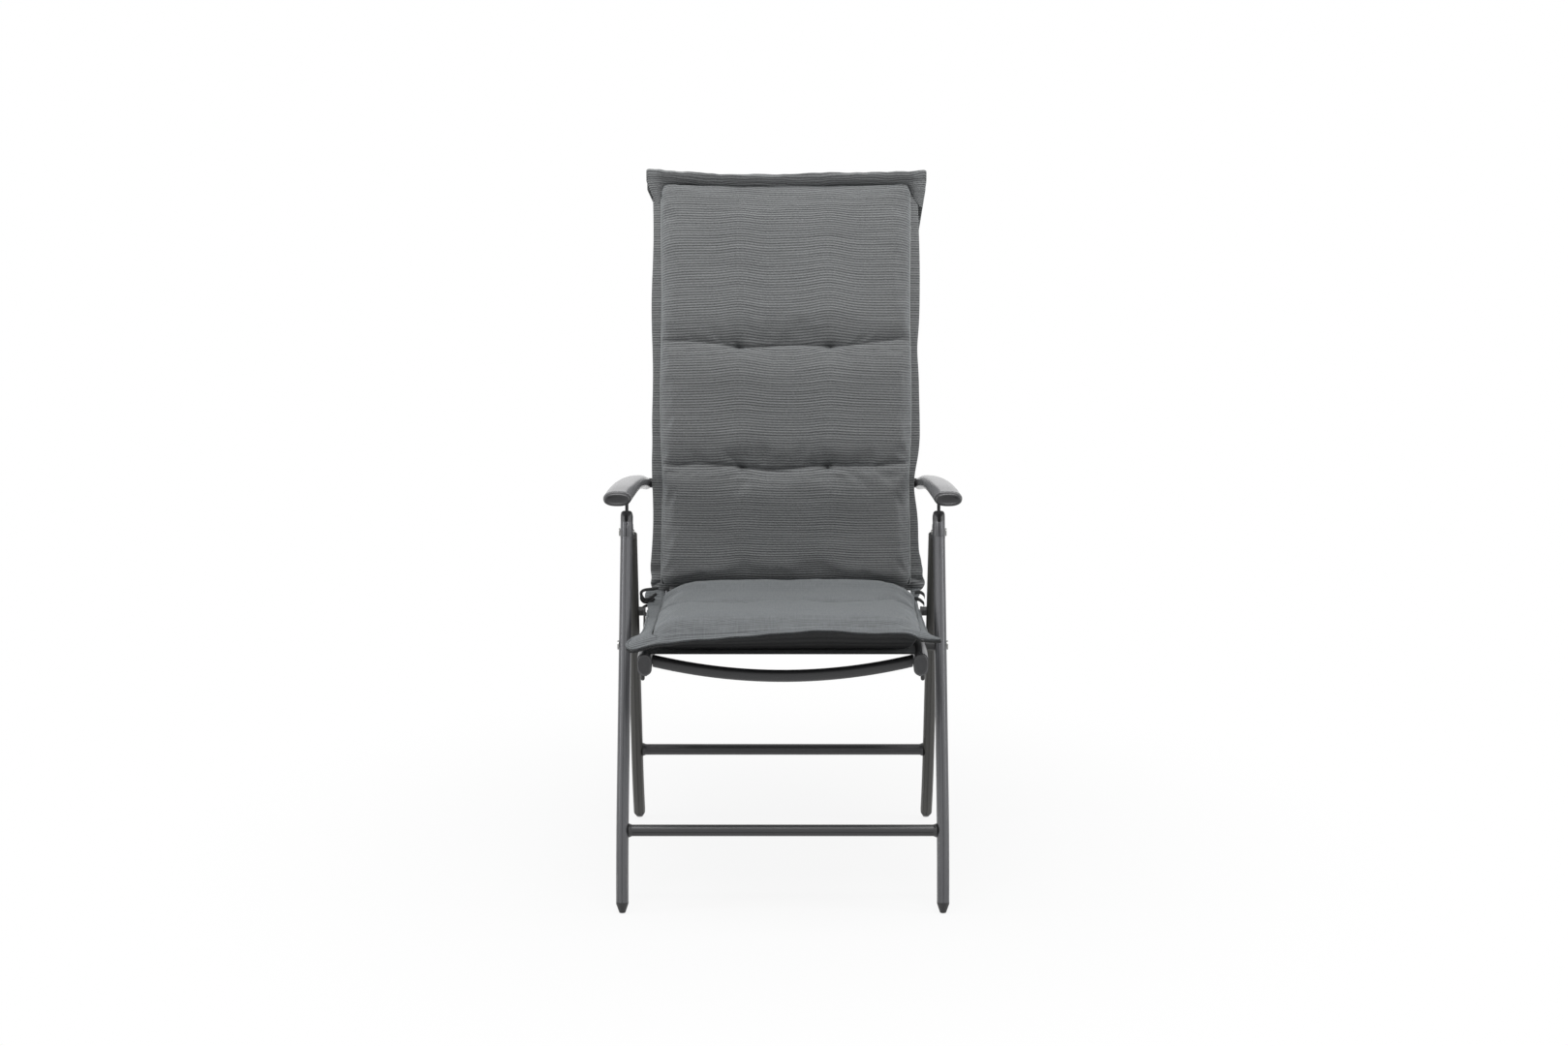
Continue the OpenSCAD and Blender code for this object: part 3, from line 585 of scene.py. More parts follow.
def border(name, inner, outer, thickness, lay_on, finish, body, waves=0.0, seed=0.0, crumple=None):
    """A strip of doubled cloth between two lines of equally many points. crumple is the size of its folds."""
    inner, outer = np.asarray(inner, float), np.asarray(outer, float)
    columns = 5
    share = np.linspace(0, 1, columns)[None, :, None]
    grid = inner[:, None] * (1 - share) + outer[:, None] * share
    grid[..., 2] += waves * share[..., 0] * ripple(outer, 0.035, seed)[:, None]
    if crumple is not None:
        fold = ripple(outer, 0.011, seed + 4)[:, None]
        grid[..., 2] += crumple[:, None] * (0.35 + 0.65 * share[..., 0]) * fold
        grid[..., 0] += 0.6 * crumple[:, None] * share[..., 0] * ripple(outer, 0.014, seed + 8)[:, None]
    points = grid.reshape(-1, 3)
    faces = sheet_faces(len(inner), columns)
    strip = make_piece(name, points, faces, points[:, :2], finish, body)
    smooth(strip, thickness, 1)
    lay_down(strip, lay_on)
    return strip


def roll(name, line, radius, finish, body, sides=10):
    """A round cord of cloth along a line, with closed ends."""
    line = np.asarray(line, float)
    ahead = np.gradient(line, axis=0)
    ahead /= np.linalg.norm(ahead, axis=1, keepdims=True)
    side = np.cross(ahead, (0.13, 0.97, 0.21))
    side /= np.linalg.norm(side, axis=1, keepdims=True)
    up = np.cross(side, ahead)
    turn = np.linspace(0, 2 * math.pi, sides, endpoint=False)
    round_it = np.cos(turn)[None, :, None] * side[:, None] + np.sin(turn)[None, :, None] * up[:, None]
    ring = line[:, None] + radius * round_it
    gone = np.concatenate([[0], np.cumsum(np.linalg.norm(np.diff(line, axis=0), axis=1))])
    points = ring.reshape(-1, 3)
    lay = [(gone[i // sides], radius * turn[i % sides]) for i in range(len(points))]
    count = len(line)
    faces = [tuple(range(sides)), tuple(range(count * sides - 1, (count - 1) * sides - 1, -1))]
    for here in range(0, (count - 1) * sides, sides):
        next_ring = here + sides
        faces += [(here + k, here + (k + 1) % sides, next_ring + (k + 1) % sides, next_ring + k)
                  for k in range(sides)]
    return bake(make_piece(name, points, faces, lay, finish, body))


def join(name, pieces):
    """Several meshes on one body become one piece."""
    joined = pieces[0]
    with bpy.context.temp_override(active_object=joined, object=joined, selected_objects=pieces,
                                   selected_editable_objects=pieces):
        bpy.ops.object.join()
    joined.name = joined.data.name = name
    return joined


print("pad tools ready, simulation", "on")

# %% [markdown]
# ## Back cushion
# One tall panel with two rows of two tufts. Between the tufts of a row the cover folds in, right across the
# panel, and from tuft to tuft up the panel it sinks into a shallow valley that bends the bands of the
# cloth.

# %% Back cushion
BACK_MIDDLE = 0.005
BACK_HALF = 0.2085
BACK_LOW, BACK_HIGH = 0.062, 0.7285
UPPER_CREASE, LOWER_CREASE = CREASES = (0.454, 0.258)
VALLEYS = (-0.071, 0.077)
TUFTS_BACK = [(-0.073, UPPER_CREASE), (0.079, UPPER_CREASE), (-0.068, LOWER_CREASE), (0.075, LOWER_CREASE)]


def back_half(up):
    """Half width at the seam. The panel narrows a little where the armrests pass."""
    return BACK_HALF - 0.0022 * hump(up, 0.235, 0.05) + 0.0010 * np.sin(up * 19 + 1)


def back_seam(up):
    """Height of the seam, which is drawn in a little at the upper crease."""
    return 0.030 + 0.0012 * np.sin(up * 31) - 0.003 * hump(up, UPPER_CREASE, 0.04)


def back_top(across, up):
    """Height of the upper layer, with creases, tufts and valleys."""
    side = back_half(up) - np.abs(across - BACK_MIDDLE)
    end = np.minimum(up - BACK_LOW, BACK_HIGH - up)
    rise = crown(side, 0.034) * crown(end, 0.030)
    height = 0.0245 * rise
    dip = np.zeros_like(across)
    for row in CREASES:
        bow = 0.004 * np.cos(across * 14) + 0.0022 * np.sin(across * 37 + row * 9)
        gap = up - row + bow - 0.004
        above = 0.62 * np.exp(-gap / 0.020) + 0.38 * np.exp(-gap / 0.006)
        fold = np.where(gap > 0, above, np.exp(gap / 0.0085))
        dip += (0.0098 + 0.0020 * np.cos(across * 21)) * fold
        inward = np.clip(1.25 - (np.abs(across - BACK_MIDDLE) / 0.17) ** 2, 0, 1)
        dip += 0.0034 * np.exp(-np.abs(gap) / 0.0022) * inward
        puff = hump(np.abs(gap), 0.045, 0.04)
        dip -= 0.0022 * puff * rise
    for x, s in TUFTS_BACK:
        reach = np.hypot((across - x) / 1.15, up - s)
        dip += 0.0095 * np.exp(-reach / 0.0085)
        for tilt in (-0.9, -0.35, 0.35, 0.9):
            off = (across - x) * math.cos(tilt) + (up - s) * math.sin(tilt)
            run = -(across - x) * math.sin(tilt) + (up - s) * math.cos(tilt)
            dip += 0.0012 * hump(off, 0, 0.004) * hump(run, 0, 0.03)
    for x in VALLEYS:
        dip += 0.0027 * hump(across, x, 0.021) * (0.55 + 0.45 * np.cos((up - 0.356) * 16))
    return back_seam(up) + height - dip * np.clip(rise, 0, 1) ** 0.6


def back_pull(across, up):
    """How far the cloth is dragged up the panel, which bends its bands."""
    pull = 0.0060 * sum(hump(across, x, 0.031) for x in VALLEYS)
    pull += 0.0012 * np.sin(across * 33 + up * 11) + 0.0010 * np.sin(up * 23 + across * 7)
    toward = sum(np.exp(-(np.hypot(across - x, up - s) / 0.03) ** 2) * np.sign(s - up) for x, s in TUFTS_BACK)
    return pull * (0.45 + 0.55 * np.clip((up - 0.3) / 0.2, 0, 1)) + 0.002 * toward


# The rows of the grid lie closer together at the creases and at both ends.
rows, columns = 138, 74
fine = np.linspace(BACK_LOW, BACK_HIGH, 2000)
closeness = 1 + 2.6 * sum(hump(fine, crease + 0.001, 0.013) for crease in CREASES)
closeness += 1.5 * np.exp(-(fine - BACK_LOW) / 0.012) + 1.5 * np.exp(-(BACK_HIGH - fine) / 0.012)
closeness = np.cumsum(closeness)
steps = np.interp(np.linspace(closeness[0], closeness[-1], rows), closeness, fine)
share, up = np.meshgrid(spread(columns), steps)
across = BACK_MIDDLE + back_half(up) * (2 * share - 1)
corner = 0.004 * (1 - np.clip((BACK_HIGH - up) / 0.02, 0, 1)) ** 2
corner += 0.006 * (1 - np.clip((up - BACK_LOW) / 0.016, 0, 1)) ** 2
across = BACK_MIDDLE + (across - BACK_MIDDLE) * (1 - corner / BACK_HALF)
from_side = back_half(up) - np.abs(across - BACK_MIDDLE)
from_end = np.minimum(up - BACK_LOW, BACK_HIGH - up)
flat_points = np.column_stack([across.ravel(), up.ravel(), np.zeros(up.size)])
top = back_top(across, up)
top += 0.0011 * ripple(flat_points, 0.05).reshape(up.shape) * crown(from_side, 0.03)
seam = back_seam(up)
rim = np.ones_like(up, bool)
rim[1:-1, 1:-1] = False
top = np.where(rim, seam, top)
depth_under = np.clip(np.minimum(from_side, from_end) / 0.02, 0, 1)
under = seam - (seam - 0.0158) * depth_under ** 0.6
back_pad, held = pillow("back cushion pad", across, up, top, under, back_pull(across, up), cover, "back")
flat_across, flat_up = across.ravel(), up.ravel()
for x, s in TUFTS_BACK:
    held[:len(flat_up)] |= np.hypot(flat_across - x, flat_up - s) < 0.007
for row in CREASES:
    held[:len(flat_up)] |= (np.abs(flat_up - row) < 0.004) & (np.abs(flat_across - BACK_MIDDLE) < 0.19)
swell(back_pad, held, 3.0, 0.02, 0.0035)
smooth(back_pad, 0, 1)
lay_down(back_pad, on_back)
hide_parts("back_cushion")
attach(back_pad, "back")
print("back pad", [round(v, 3) for v in back_pad.dimensions], len(back_pad.data.polygons), "faces")

# %% [markdown]
# ## Flat border and piping of the back
# The two layers run on past the seam as a flat border, a thumb's width of doubled cloth that stands out to
# the sides and waves a little. A thin piping lies in the seam between the border and the stuffed panel.


# %% Flat border and piping of the back
def curve_through(points, count):
    """A smooth line through a few points, with evenly spread steps between them."""
    points = np.asarray(points, float)
    ends = np.vstack([2 * points[0] - points[1], points, 2 * points[-1] - points[-2]])
    at = np.linspace(0, len(points) - 1, count)
    index = np.minimum(at.astype(int), len(points) - 2)
    t = (at - index)[:, None]
    a, b, c, d = (ends[index + k] for k in range(4))
    bend = (2 * a - 5 * b + 4 * c - d) * t ** 2 + (3 * b - a - 3 * c + d) * t ** 3
    return 0.5 * (2 * b + (c - a) * t + bend)


def three_sides(half, low, high, radius, side=110, arc=10, end=70):
    """Down the left side, along the bottom and up the right side, with rounded corners."""
    turn = np.linspace(0, math.pi / 2, arc)
    left = [(-half, s) for s in np.linspace(high, low + radius, side, endpoint=False)]
    left += [(-half + radius * (1 - math.cos(a)), low + radius * (1 - math.sin(a))) for a in turn]
    bottom = [(x, low) for x in np.linspace(-half + radius, half - radius, end)[1:-1]]
    return np.array(left + bottom + [(-x, s) for x, s in reversed(left)])


inner = three_sides(1.0, BACK_LOW, 0.722, 0.012)
outer = three_sides(1.0, 0.051, 0.722, 0.020)
inner_x = BACK_MIDDLE + inner[:, 0] * (back_half(inner[:, 1]) - 0.0006)
tucked_x = BACK_MIDDLE + inner[:, 0] * (back_half(inner[:, 1]) - 0.0050)
up = outer[:, 1]
reach_left = 0.2235 + 0.0013 * np.sin(up * 27) + 0.002 * hump(up, 0.09, 0.05) - 0.0015 * hump(up, 0.30, 0.03)
reach_right = 0.2235 + 0.0012 * np.sin(up * 21 + 2) - 0.0095 * hump(up, 0.232, 0.045)
reach_right += 0.009 * hump(up, 0.07, 0.035)
reach_right -= 0.0025 * hump(up, UPPER_CREASE, 0.03)
outer_x = BACK_MIDDLE + outer[:, 0] * np.where(outer[:, 0] < 0, reach_left, reach_right)
seam = back_seam(inner[:, 1])
inner_line = np.column_stack([inner_x, inner[:, 1], seam - 0.001])
tucked_up = inner[:, 1] + 0.004 * hump(inner[:, 1], BACK_LOW, 0.01)
tucked_line = np.column_stack([tucked_x, tucked_up, seam - 0.0012])
outer_line = np.column_stack([outer_x, outer[:, 1], seam - 0.0035])
near_bottom = np.clip((0.125 - outer[:, 1]) / 0.04, 0, 1)
near_side = np.clip((np.abs(outer[:, 0]) - 0.8) / 0.1, 0, 1)
back_border = border("back cushion border", tucked_line, outer_line, 0.0036, on_back, cover, "back",
                     waves=0.0022, seed=3.0, crumple=0.0075 * near_bottom * near_side)
back_piping = roll("back cushion piping", on_back(inner_line + (0, 0, 0.0016)), 0.0011, piping, "back")
for piece in (back_border, back_piping):
    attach(piece, "back")
print("border", len(back_border.data.polygons), "faces, piping", len(back_piping.data.polygons), "faces")

# %% [markdown]
# ## Hood
# The upper end of the cushion is a pocket that is pulled over the top of the backrest, so that the cushion
# can't slide down. Its seam stands up as a ridge with a hollow in front of it. The pocket is wider than the
# panel, which makes two small ears at the corners, and it runs down behind the back as a flap.

# %% Hood
HOOD_MIDDLE = 0.006
HOOD_HALF = 0.2205
EAR_WIDER = 0.0152
EAR_HANGS = 0.040
EAR_FLATTER = 0.42
FRONT_DEPTH = 0.064
INNER_FACE = 0.018
profile = curve_through([
    (0.7225, 0.0330), (0.7232, 0.0430), (0.7262, 0.0520), (0.7305, 0.0585), (0.7345, 0.0592), (0.7376, 0.0480),
    (0.7390, 0.0200), (0.7388, 0.0000), (0.7370, -0.0095), (0.7305, -0.0152), (0.7180, -0.0170),
    (0.6900, -0.0175), (0.6400, -0.0178), (0.5850, -0.0180), (0.5300, -0.0180)], 92)
gone = np.concatenate([[0], np.cumsum(np.linalg.norm(np.diff(profile, axis=0), axis=1))])


def between(value, low, high):
    """0 below low, 1 above high and even in between."""
    return float(np.clip((value - low) / (high - low), 0, 1))


def gathers(x, up, run, edge):
    """Small folds in the hood's front, where its width is drawn in."""
    small = noise.noise(Vector((x * 60, 2.0, up * 12))) * 0.0016
    small += noise.noise(Vector((x * 150, 7.0, up * 20))) * 0.0008
    return small + noise.noise(Vector((x * 13, 5.0, run * 130))) * 0.0034 * (1 - edge)


def hood_point(up, out, run, aside):
    """One point and its lay. run is the way along the profile, and aside goes from -1 to 1 across."""
    edge = between(abs(aside), 0.85, 1.0)
    edge = edge * edge * (3 - 2 * edge)
    front = 1 - between(run, 0, FRONT_DEPTH)
    near_top = between(up, 0.700, 0.730)
    hang = EAR_HANGS * edge * max(0.0, 1 - run / 0.016)
    flatter = EAR_FLATTER * edge ** 1.5
    higher = 0.0072 * abs(aside) ** 2.2 - 0.0012 * math.cos(aside * 5 + 1)
    higher += 0.52 * flatter * max(0.0, out - INNER_FACE)
    place = up + near_top * higher - hang
    place -= 0.0030 * near_top * max(0.0, (abs(aside) - 0.970) / 0.030) ** 3
    wider = between(place, 0.698, 0.732) if aside < 0 else between(place, 0.640, 0.732)
    x = HOOD_MIDDLE + aside * (HOOD_HALF + EAR_WIDER * wider)
    height = INNER_FACE + (out - INNER_FACE) * (1 - flatter)
    gather = gathers(x, up, run, edge)
    height += gather * front
    place += gather * 0.8 * near_top * (1 - edge)
    waves = noise.noise(Vector((x * 22, up * 30, 4.0)))
    if out > -0.012:
        height += 0.0010 * waves
    else:
        height -= 0.0012 * abs(waves) * (1 - between(up, 0.65, 0.70))
    return (x, place, height), (x, run - hang + 0.0013 * math.sin(x * 40))


columns = 97
hood_grid = [hood_point(up, out, run, aside) for (up, out), run in zip(profile, gone)
             for aside in 2 * spread(columns) - 1]
points, lay = zip(*hood_grid)
faces = sheet_faces(len(profile), columns)
hood = make_piece("hood cover", points, faces, lay, cover, "back")
smooth(hood, 0.0018, 1)
lay_down(hood, on_back)
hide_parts("cushion_hood")
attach(hood, "back")
print("hood", [round(v, 3) for v in hood.dimensions])

# %% [markdown]
# ## Seat cushion
# The seat panel is shorter and crowned, and it rises where it is pushed against the back. Its front seam
# stands proud as a doubled hem. Under the hem the lower layer turns back down to the sling, always in the
# shade, and its cloth is darkened as painted shade.

# %% Seat cushion
SEAT_CREASE = 0.240
TUFTS_SEAT = [(-0.066, SEAT_CREASE), (0.074, SEAT_CREASE)]
hem_x = [-0.235, -0.214, -0.185, -0.159, -0.082, -0.030, 0.062, 0.131, 0.191, 0.215, 0.245]
hem_up = [0.0275, 0.0366, 0.0430, 0.0472, 0.0502, 0.0552, 0.0623, 0.0578, 0.0583, 0.0492, 0.0482]
SEAT_LOW, SEAT_HIGH = 0.032, 0.469


def seat_middle(along):
    return 0.0102 - 0.009 * along


def seat_half(along):
    return 0.2105 - 0.004 * along + 0.0012 * np.sin(along * 23)


def seat_seam(across, along):
    """Height of the seam: low at the sides and the rear, and as high as the hem in front."""
    front = np.clip((along - 0.38) / 0.085, 0, 1) ** 2
    return 0.035 * (1 - front) + np.interp(across, hem_x, hem_up) * front


def seat_top(across, along):
    side = seat_half(along) - np.abs(across - seat_middle(along))
    width = 0.052 + 0.060 * np.clip((along - 0.36) / 0.10, 0, 1) ** 1.5
    rise = crown(side, width, 2.1) * crown(along - SEAT_LOW, 0.030)
    front = 1 - np.clip((along - 0.425) / 0.044, 0, 1) ** 2.2
    level = 0.0605 + 0.0125 * hump(along, 0.072, 0.052) * (1 - 0.5 * (across / 0.2) ** 2)
    level += 0.002 * np.sin(across * 9 + 1)
    seam = seat_seam(across, along)
    height = seam + (level - seam) * rise * front
    gap = along - SEAT_CREASE + 0.006 * np.cos(across * 16)
    fold = np.where(gap < 0, np.exp(gap / 0.016), np.exp(-gap / 0.010))
    dip = (0.0035 + 0.0012 * np.cos(across * 22)) * fold * (np.abs(across) < 0.15)
    for x, a in TUFTS_SEAT:
        dip += 0.0075 * np.exp(-np.hypot((across - x) / 1.2, along - a) / 0.010)
    stronger = 0.4 + 0.6 * np.clip(0.5 + across * 4, 0, 1)
    for a, depth in ((0.433, 0.0011), (0.449, 0.0013), (0.459, 0.0009)):
        dip += depth * hump(along, a + 0.004 * np.sin(across * 17), 0.0035) * stronger
    return height - dip * np.clip(rise, 0, 1)


rows, columns = 84, 76
share, along = np.meshgrid(spread(columns), SEAT_LOW + (SEAT_HIGH - SEAT_LOW) * spread(rows))
half = seat_half(along)
corner = 0.014 * (1 - np.clip((SEAT_HIGH - along) / 0.022, 0, 1)) ** 2
corner += 0.012 * (1 - np.clip((along - SEAT_LOW) / 0.025, 0, 1)) ** 2
across = seat_middle(along) + (half - corner) * (2 * share - 1)
rim = np.ones_like(along, bool)
rim[1:-1, 1:-1] = False
seam = seat_seam(across, along)
top = seat_top(across, along)
flat_points = np.column_stack([across.ravel(), along.ravel(), np.zeros(along.size)])
top += 0.0012 * ripple(flat_points, 0.06, 5).reshape(along.shape) * (top - seam > 0.006)
top = np.where(rim, seam, top)
from_side = half - np.abs(across - seat_middle(along))
from_end = np.minimum(along - SEAT_LOW, (SEAT_HIGH - along) * 1.1)
depth_under = np.clip(np.minimum(from_side, from_end) / 0.02, 0, 1)
under = seam - (seam - 0.0184) * depth_under ** 0.75
seat_pad, held = pillow("seat cushion pad", across, along, top, under, 0 * along, cover_seat_sheen_tinted, "seat")
flat_across, flat_along = across.ravel(), along.ravel()
for x, a in TUFTS_SEAT:
    held[:len(flat_along)] |= np.hypot(flat_across - x, flat_along - a) < 0.007
held[:len(flat_along)] |= flat_along > 0.461
swell(seat_pad, held, 3.0, 0.02, 0.0035)
smooth(seat_pad, 0, 1)
lay_down(seat_pad, on_seat)
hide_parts("seat_cushion")
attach(seat_pad, "seat")

# Both lines run from the rear left, along the left side, the front and the right side, to the rear right.
seam_line = [
    (-0.1960, 0.024, 0.052), (-0.1985, 0.062, 0.038), (-0.2005, 0.150, 0.035), (-0.2015, 0.300, 0.036),
    (-0.2025, 0.415, 0.038), (-0.2020, 0.448, 0.043), (-0.1960, 0.463, 0.044), (-0.1850, 0.4675, 0.0435),
    (-0.1590, 0.4685, 0.0472), (-0.0820, 0.4685, 0.0502), (-0.0300, 0.4685, 0.0552), (0.0620, 0.4685, 0.0623),
    (0.1310, 0.4685, 0.0578), (0.1850, 0.4675, 0.0583), (0.2060, 0.463, 0.0525), (0.2110, 0.455, 0.0480),
    (0.2118, 0.440, 0.0455), (0.2130, 0.415, 0.041), (0.2155, 0.300, 0.037), (0.2180, 0.150, 0.036),
    (0.2180, 0.062, 0.038), (0.2130, 0.024, 0.052)]
edge_line = [
    (-0.2310, 0.026, 0.054), (-0.2275, 0.062, 0.040), (-0.2215, 0.150, 0.033), (-0.2185, 0.300, 0.032),
    (-0.2200, 0.415, 0.033), (-0.2330, 0.445, 0.0315), (-0.2405, 0.464, 0.0290), (-0.2300, 0.4795, 0.0285),
    (-0.1880, 0.4800, 0.0395), (-0.0860, 0.4800, 0.0485), (-0.0320, 0.4800, 0.0537), (0.0620, 0.4800, 0.0610),
    (0.1310, 0.4800, 0.0565), (0.1900, 0.4800, 0.0565), (0.2130, 0.4815, 0.0490), (0.2415, 0.4790, 0.0455),
    (0.2300, 0.4700, 0.0455), (0.2240, 0.4550, 0.0440), (0.2225, 0.4250, 0.040), (0.2240, 0.300, 0.034),
    (0.2235, 0.150, 0.033), (0.2250, 0.062, 0.036), (0.2320, 0.026, 0.052)]
inner_line, outer_line = curve_through(seam_line, 330), curve_through(edge_line, 330)
near_rear = np.clip((0.085 - outer_line[:, 1]) / 0.04, 0, 1)
seat_border = border("seat cushion border", inner_line, outer_line, 0.0042, on_seat, cover_seat_sheen_tinted, "seat",
                     waves=0.0016, seed=9.0, crumple=0.0060 * near_rear)
rim_line = (outer_line + 0.0012 * ripple(outer_line, 0.03, 9.0)[:, None] * (0, 0, 1))[30:300]
hem_upper = roll("seat hem piping", on_seat(rim_line + (0, 0, 0.0018)), 0.0015, cover_seat_sheen_tinted, "seat")
# The lower roll of the hem takes the darkened cloth, which is painted shade.
hem_lower = roll("seat hem lower piping", on_seat(rim_line + (0, 0.0006, -0.0022)), 0.0015, cover_under_shaded,
                 "seat")
for piece in (seat_border, hem_upper, hem_lower):
    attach(piece, "seat")
print("seat pad", [round(v, 3) for v in seat_pad.dimensions], len(seat_pad.data.polygons), "faces")

# %% [markdown]
# ## Fold between seat and back
# The cushion is one piece, and between its two panels it is only a fold of doubled cloth. The fold lies on
# an arc round the hinge, tucked under both panels. It has one part on each side of the hinge plates.


# %% Fold between seat and back
FOLD_MIDDLE, FOLD_HALF = 0.007, 0.197
FOLD_RADIUS = 0.062


def round_hinge(across, radius, angle):
    """A point on an arc round the hinge, at an angle in degrees above level."""
    turn = math.radians(angle)
    return across, HINGE.y - radius * math.cos(turn), HINGE.z + radius * math.sin(turn)


def fold_part(name, start, end, first):
    """A band on an arc round the hinge, from one angle to another, on one body."""
    rows, columns = 25, 49
    points, lay = [], []
    for angle in np.linspace(start, end, rows):
        radius = 0.0585 + 0.0095 * (angle - 27) / 53
        for x in np.linspace(-FOLD_HALF, FOLD_HALF, columns):
            uneven = 0.0008 * noise.noise(Vector((x * 30, angle * 0.12, 6.0)))
            points.append(round_hinge(FOLD_MIDDLE + x, radius + uneven, angle))
            lay.append((x, FOLD_RADIUS * math.radians(angle)))
    band = make_piece(name, points, sheet_faces(rows, columns), lay, cover, first)
    smooth(band, 0.003, 0)
    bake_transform(band)
    return band


folds = [fold_part("cushion fold at the seat", 27, 62, "seat"),
         fold_part("cushion fold at the back", 60, 81, "back_hinge")]
print("fold parts", [len(f.data.polygons) for f in folds])

# %% [markdown]
# ## Armrests
# Each armrest is one moulding. It starts as a narrow rounded end at its hinge, swells to a palm's width,
# turns outward over the leg and ends in a separate dished nose. Underneath is the groove with the notches.

# %% Armrests
HINGE_ACROSS = 0.2295
# Each station: forward of the hinge, across from the middle, above the hinge, width, thickness.
ARM_STATIONS = [
    (0.006, HINGE_ACROSS, 0.000, 0.0165, 0.0205), (0.060, 0.2372, 0.0138, 0.024, 0.0235),
    (0.130, 0.2460, 0.0262, 0.034, 0.025), (0.210, 0.2515, 0.0372, 0.041, 0.0250),
    (0.300, 0.2555, 0.0468, 0.0435, 0.0250), (0.364, 0.2590, 0.0505, 0.0440, 0.0232)]
# Each ring of the nose: forward of the hinge, width, thickness. The last ones turn back in to form the dish.
NOSE_RINGS = [
    (0.3648, 0.0420, 0.0220), (0.3665, 0.0432, 0.0229), (0.3700, 0.0425, 0.0225), (0.3735, 0.0397, 0.0203),
    (0.3752, 0.0364, 0.0173), (0.3752, 0.0331, 0.0146), (0.3738, 0.0298, 0.0121), (0.3728, 0.0168, 0.0060),
    (0.3726, 0.0038, 0.0014)]


def soft_oval(sides, squareness):
    """A ring between an ellipse and a rectangle, as its two coordinates from -1 to 1."""
    turn = np.linspace(0, 2 * math.pi, sides, endpoint=False)
    return (np.sign(np.cos(turn)) * np.abs(np.cos(turn)) ** squareness,
            np.sign(np.sin(turn)) * np.abs(np.sin(turn)) ** squareness)


def oval(station, side, sides=40):
    """One ring of the armrest's skin, flatter below than above."""
    forward, across, rise, width, thick = station
    u, v = soft_oval(sides, 2 / 2.35)
    u, v = u * width / 2, v * thick / 2
    v = np.where(v < 0, v * 0.96, v)
    start = pivot["arm_" + side + "_turn"]
    hand = -1 if side == "left" else 1
    return np.column_stack([hand * (across + u), np.full(sides, start.y - forward), start.z + rise + v])


def loft(name, rings, finish, body):
    """A skin over rings of the same number of points, closed at both ends."""
    sides = len(rings[0])
    points = np.vstack([rings[0].mean(0, keepdims=True), *rings, rings[-1].mean(0, keepdims=True)])
    faces = []
    for r in range(len(rings) - 1):
        here, ahead = 1 + r * sides, 1 + (r + 1) * sides
        faces += [(here + k, here + (k + 1) % sides, ahead + (k + 1) % sides, ahead + k) for k in range(sides)]
    last = len(points) - 1
    faces += [(0, 1 + (k + 1) % sides, 1 + k) for k in range(sides)]
    faces += [(last, last - sides + k, last - sides + (k + 1) % sides) for k in range(sides)]
    return bake(make_piece(name, points, faces, points[:, :2], finish, body))


def cut(piece, cutter):
    tool = piece.modifiers.new("cut", "BOOLEAN")
    tool.operation, tool.solver, tool.object = "DIFFERENCE", "EXACT", cutter
    bake(piece)
    bpy.data.objects.remove(cutter)


def groove_cutter(side):
    """The outline of the notch rack, a little wider and longer, and open below."""
    low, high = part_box("notch_rack_" + side)
    middle = (Vector(low) + Vector(high)) / 2
    wider = 1.012
    longer = 1 + 0.012 / (high[1] - low[1])
    hollow = bmesh.new()
    for vertex in nodes["notch_rack_" + side].data.vertices:
        away = vertex.co - middle
        skin = middle + Vector((away.x * wider, away.y * longer, away.z * wider))
        hollow.verts.new(skin)
        hollow.verts.new(skin - Vector((0, 0, 0.04)))
    bmesh.ops.convex_hull(hollow, input=hollow.verts)
    for free in [v for v in hollow.verts if not v.link_faces]:
        hollow.verts.remove(free)
    return from_work("groove", hollow)


def bore_cutter(side):
    """A cylinder for the bush at the armrest's hinge."""
    start = pivot["arm_" + side + "_turn"]
    across = -HINGE_ACROSS if side == "left" else HINGE_ACROSS
    place = Matrix.Translation((across, start.y, start.z)) @ Matrix.Rotation(math.pi / 2, 4, "Y")
    drill = bmesh.new()
    bmesh.ops.create_cone(drill, cap_ends=True, segments=48, radius1=0.0081, radius2=0.0081, depth=0.08,
                          matrix=place)
    return from_work("bore", drill)


def armrest(side):
    stations = curve_through(ARM_STATIONS, 46)
    first, last = stations[0], stations[-1]
    rounded = [(first[0] - 0.0100 * math.sin(a), first[1], first[2], first[3] * math.cos(a) ** 0.6,
                first[4] * math.cos(a) ** 0.8) for a in (1.50, 1.25, 0.95, 0.6, 0.3)]
    closing = [(last[0] + 0.0004, *last[1:3], last[3] - 0.0012, last[4] - 0.0012)]
    rings = [oval(station, side) for station in rounded + list(stations) + closing]
    arm = loft("armrest " + side, rings, arm_plastic, "armrest_" + side)
    cut(arm, groove_cutter(side))
    cut(arm, bore_cutter(side))
    rings = [oval((forward, last[1], last[2], width, thick), side) for forward, width, thick in NOSE_RINGS]
    nose = loft("armrest nose " + side, rings, nose_plastic, "armrest_" + side)
    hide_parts("armrest_" + side)
    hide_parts("arm_nose_" + side)
    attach(arm, "armrest_" + side)
    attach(nose, "armrest_" + side)
    return arm


armrests = [armrest(side) for side in ("left", "right")]
print("armrests", [len(o.data.polygons) for o in armrests], "faces")

# %% [markdown]
# ## Caps, straps and ties
# The tops of the front legs are domed caps with a slot for the lock tongue. The front ends of the seat
# rails are closed by oval caps with a raised rim. Behind the corner of the seat an elastic strap holds the
# cushion to the frame on one side, and on the other side two ends of a cloth tie show.

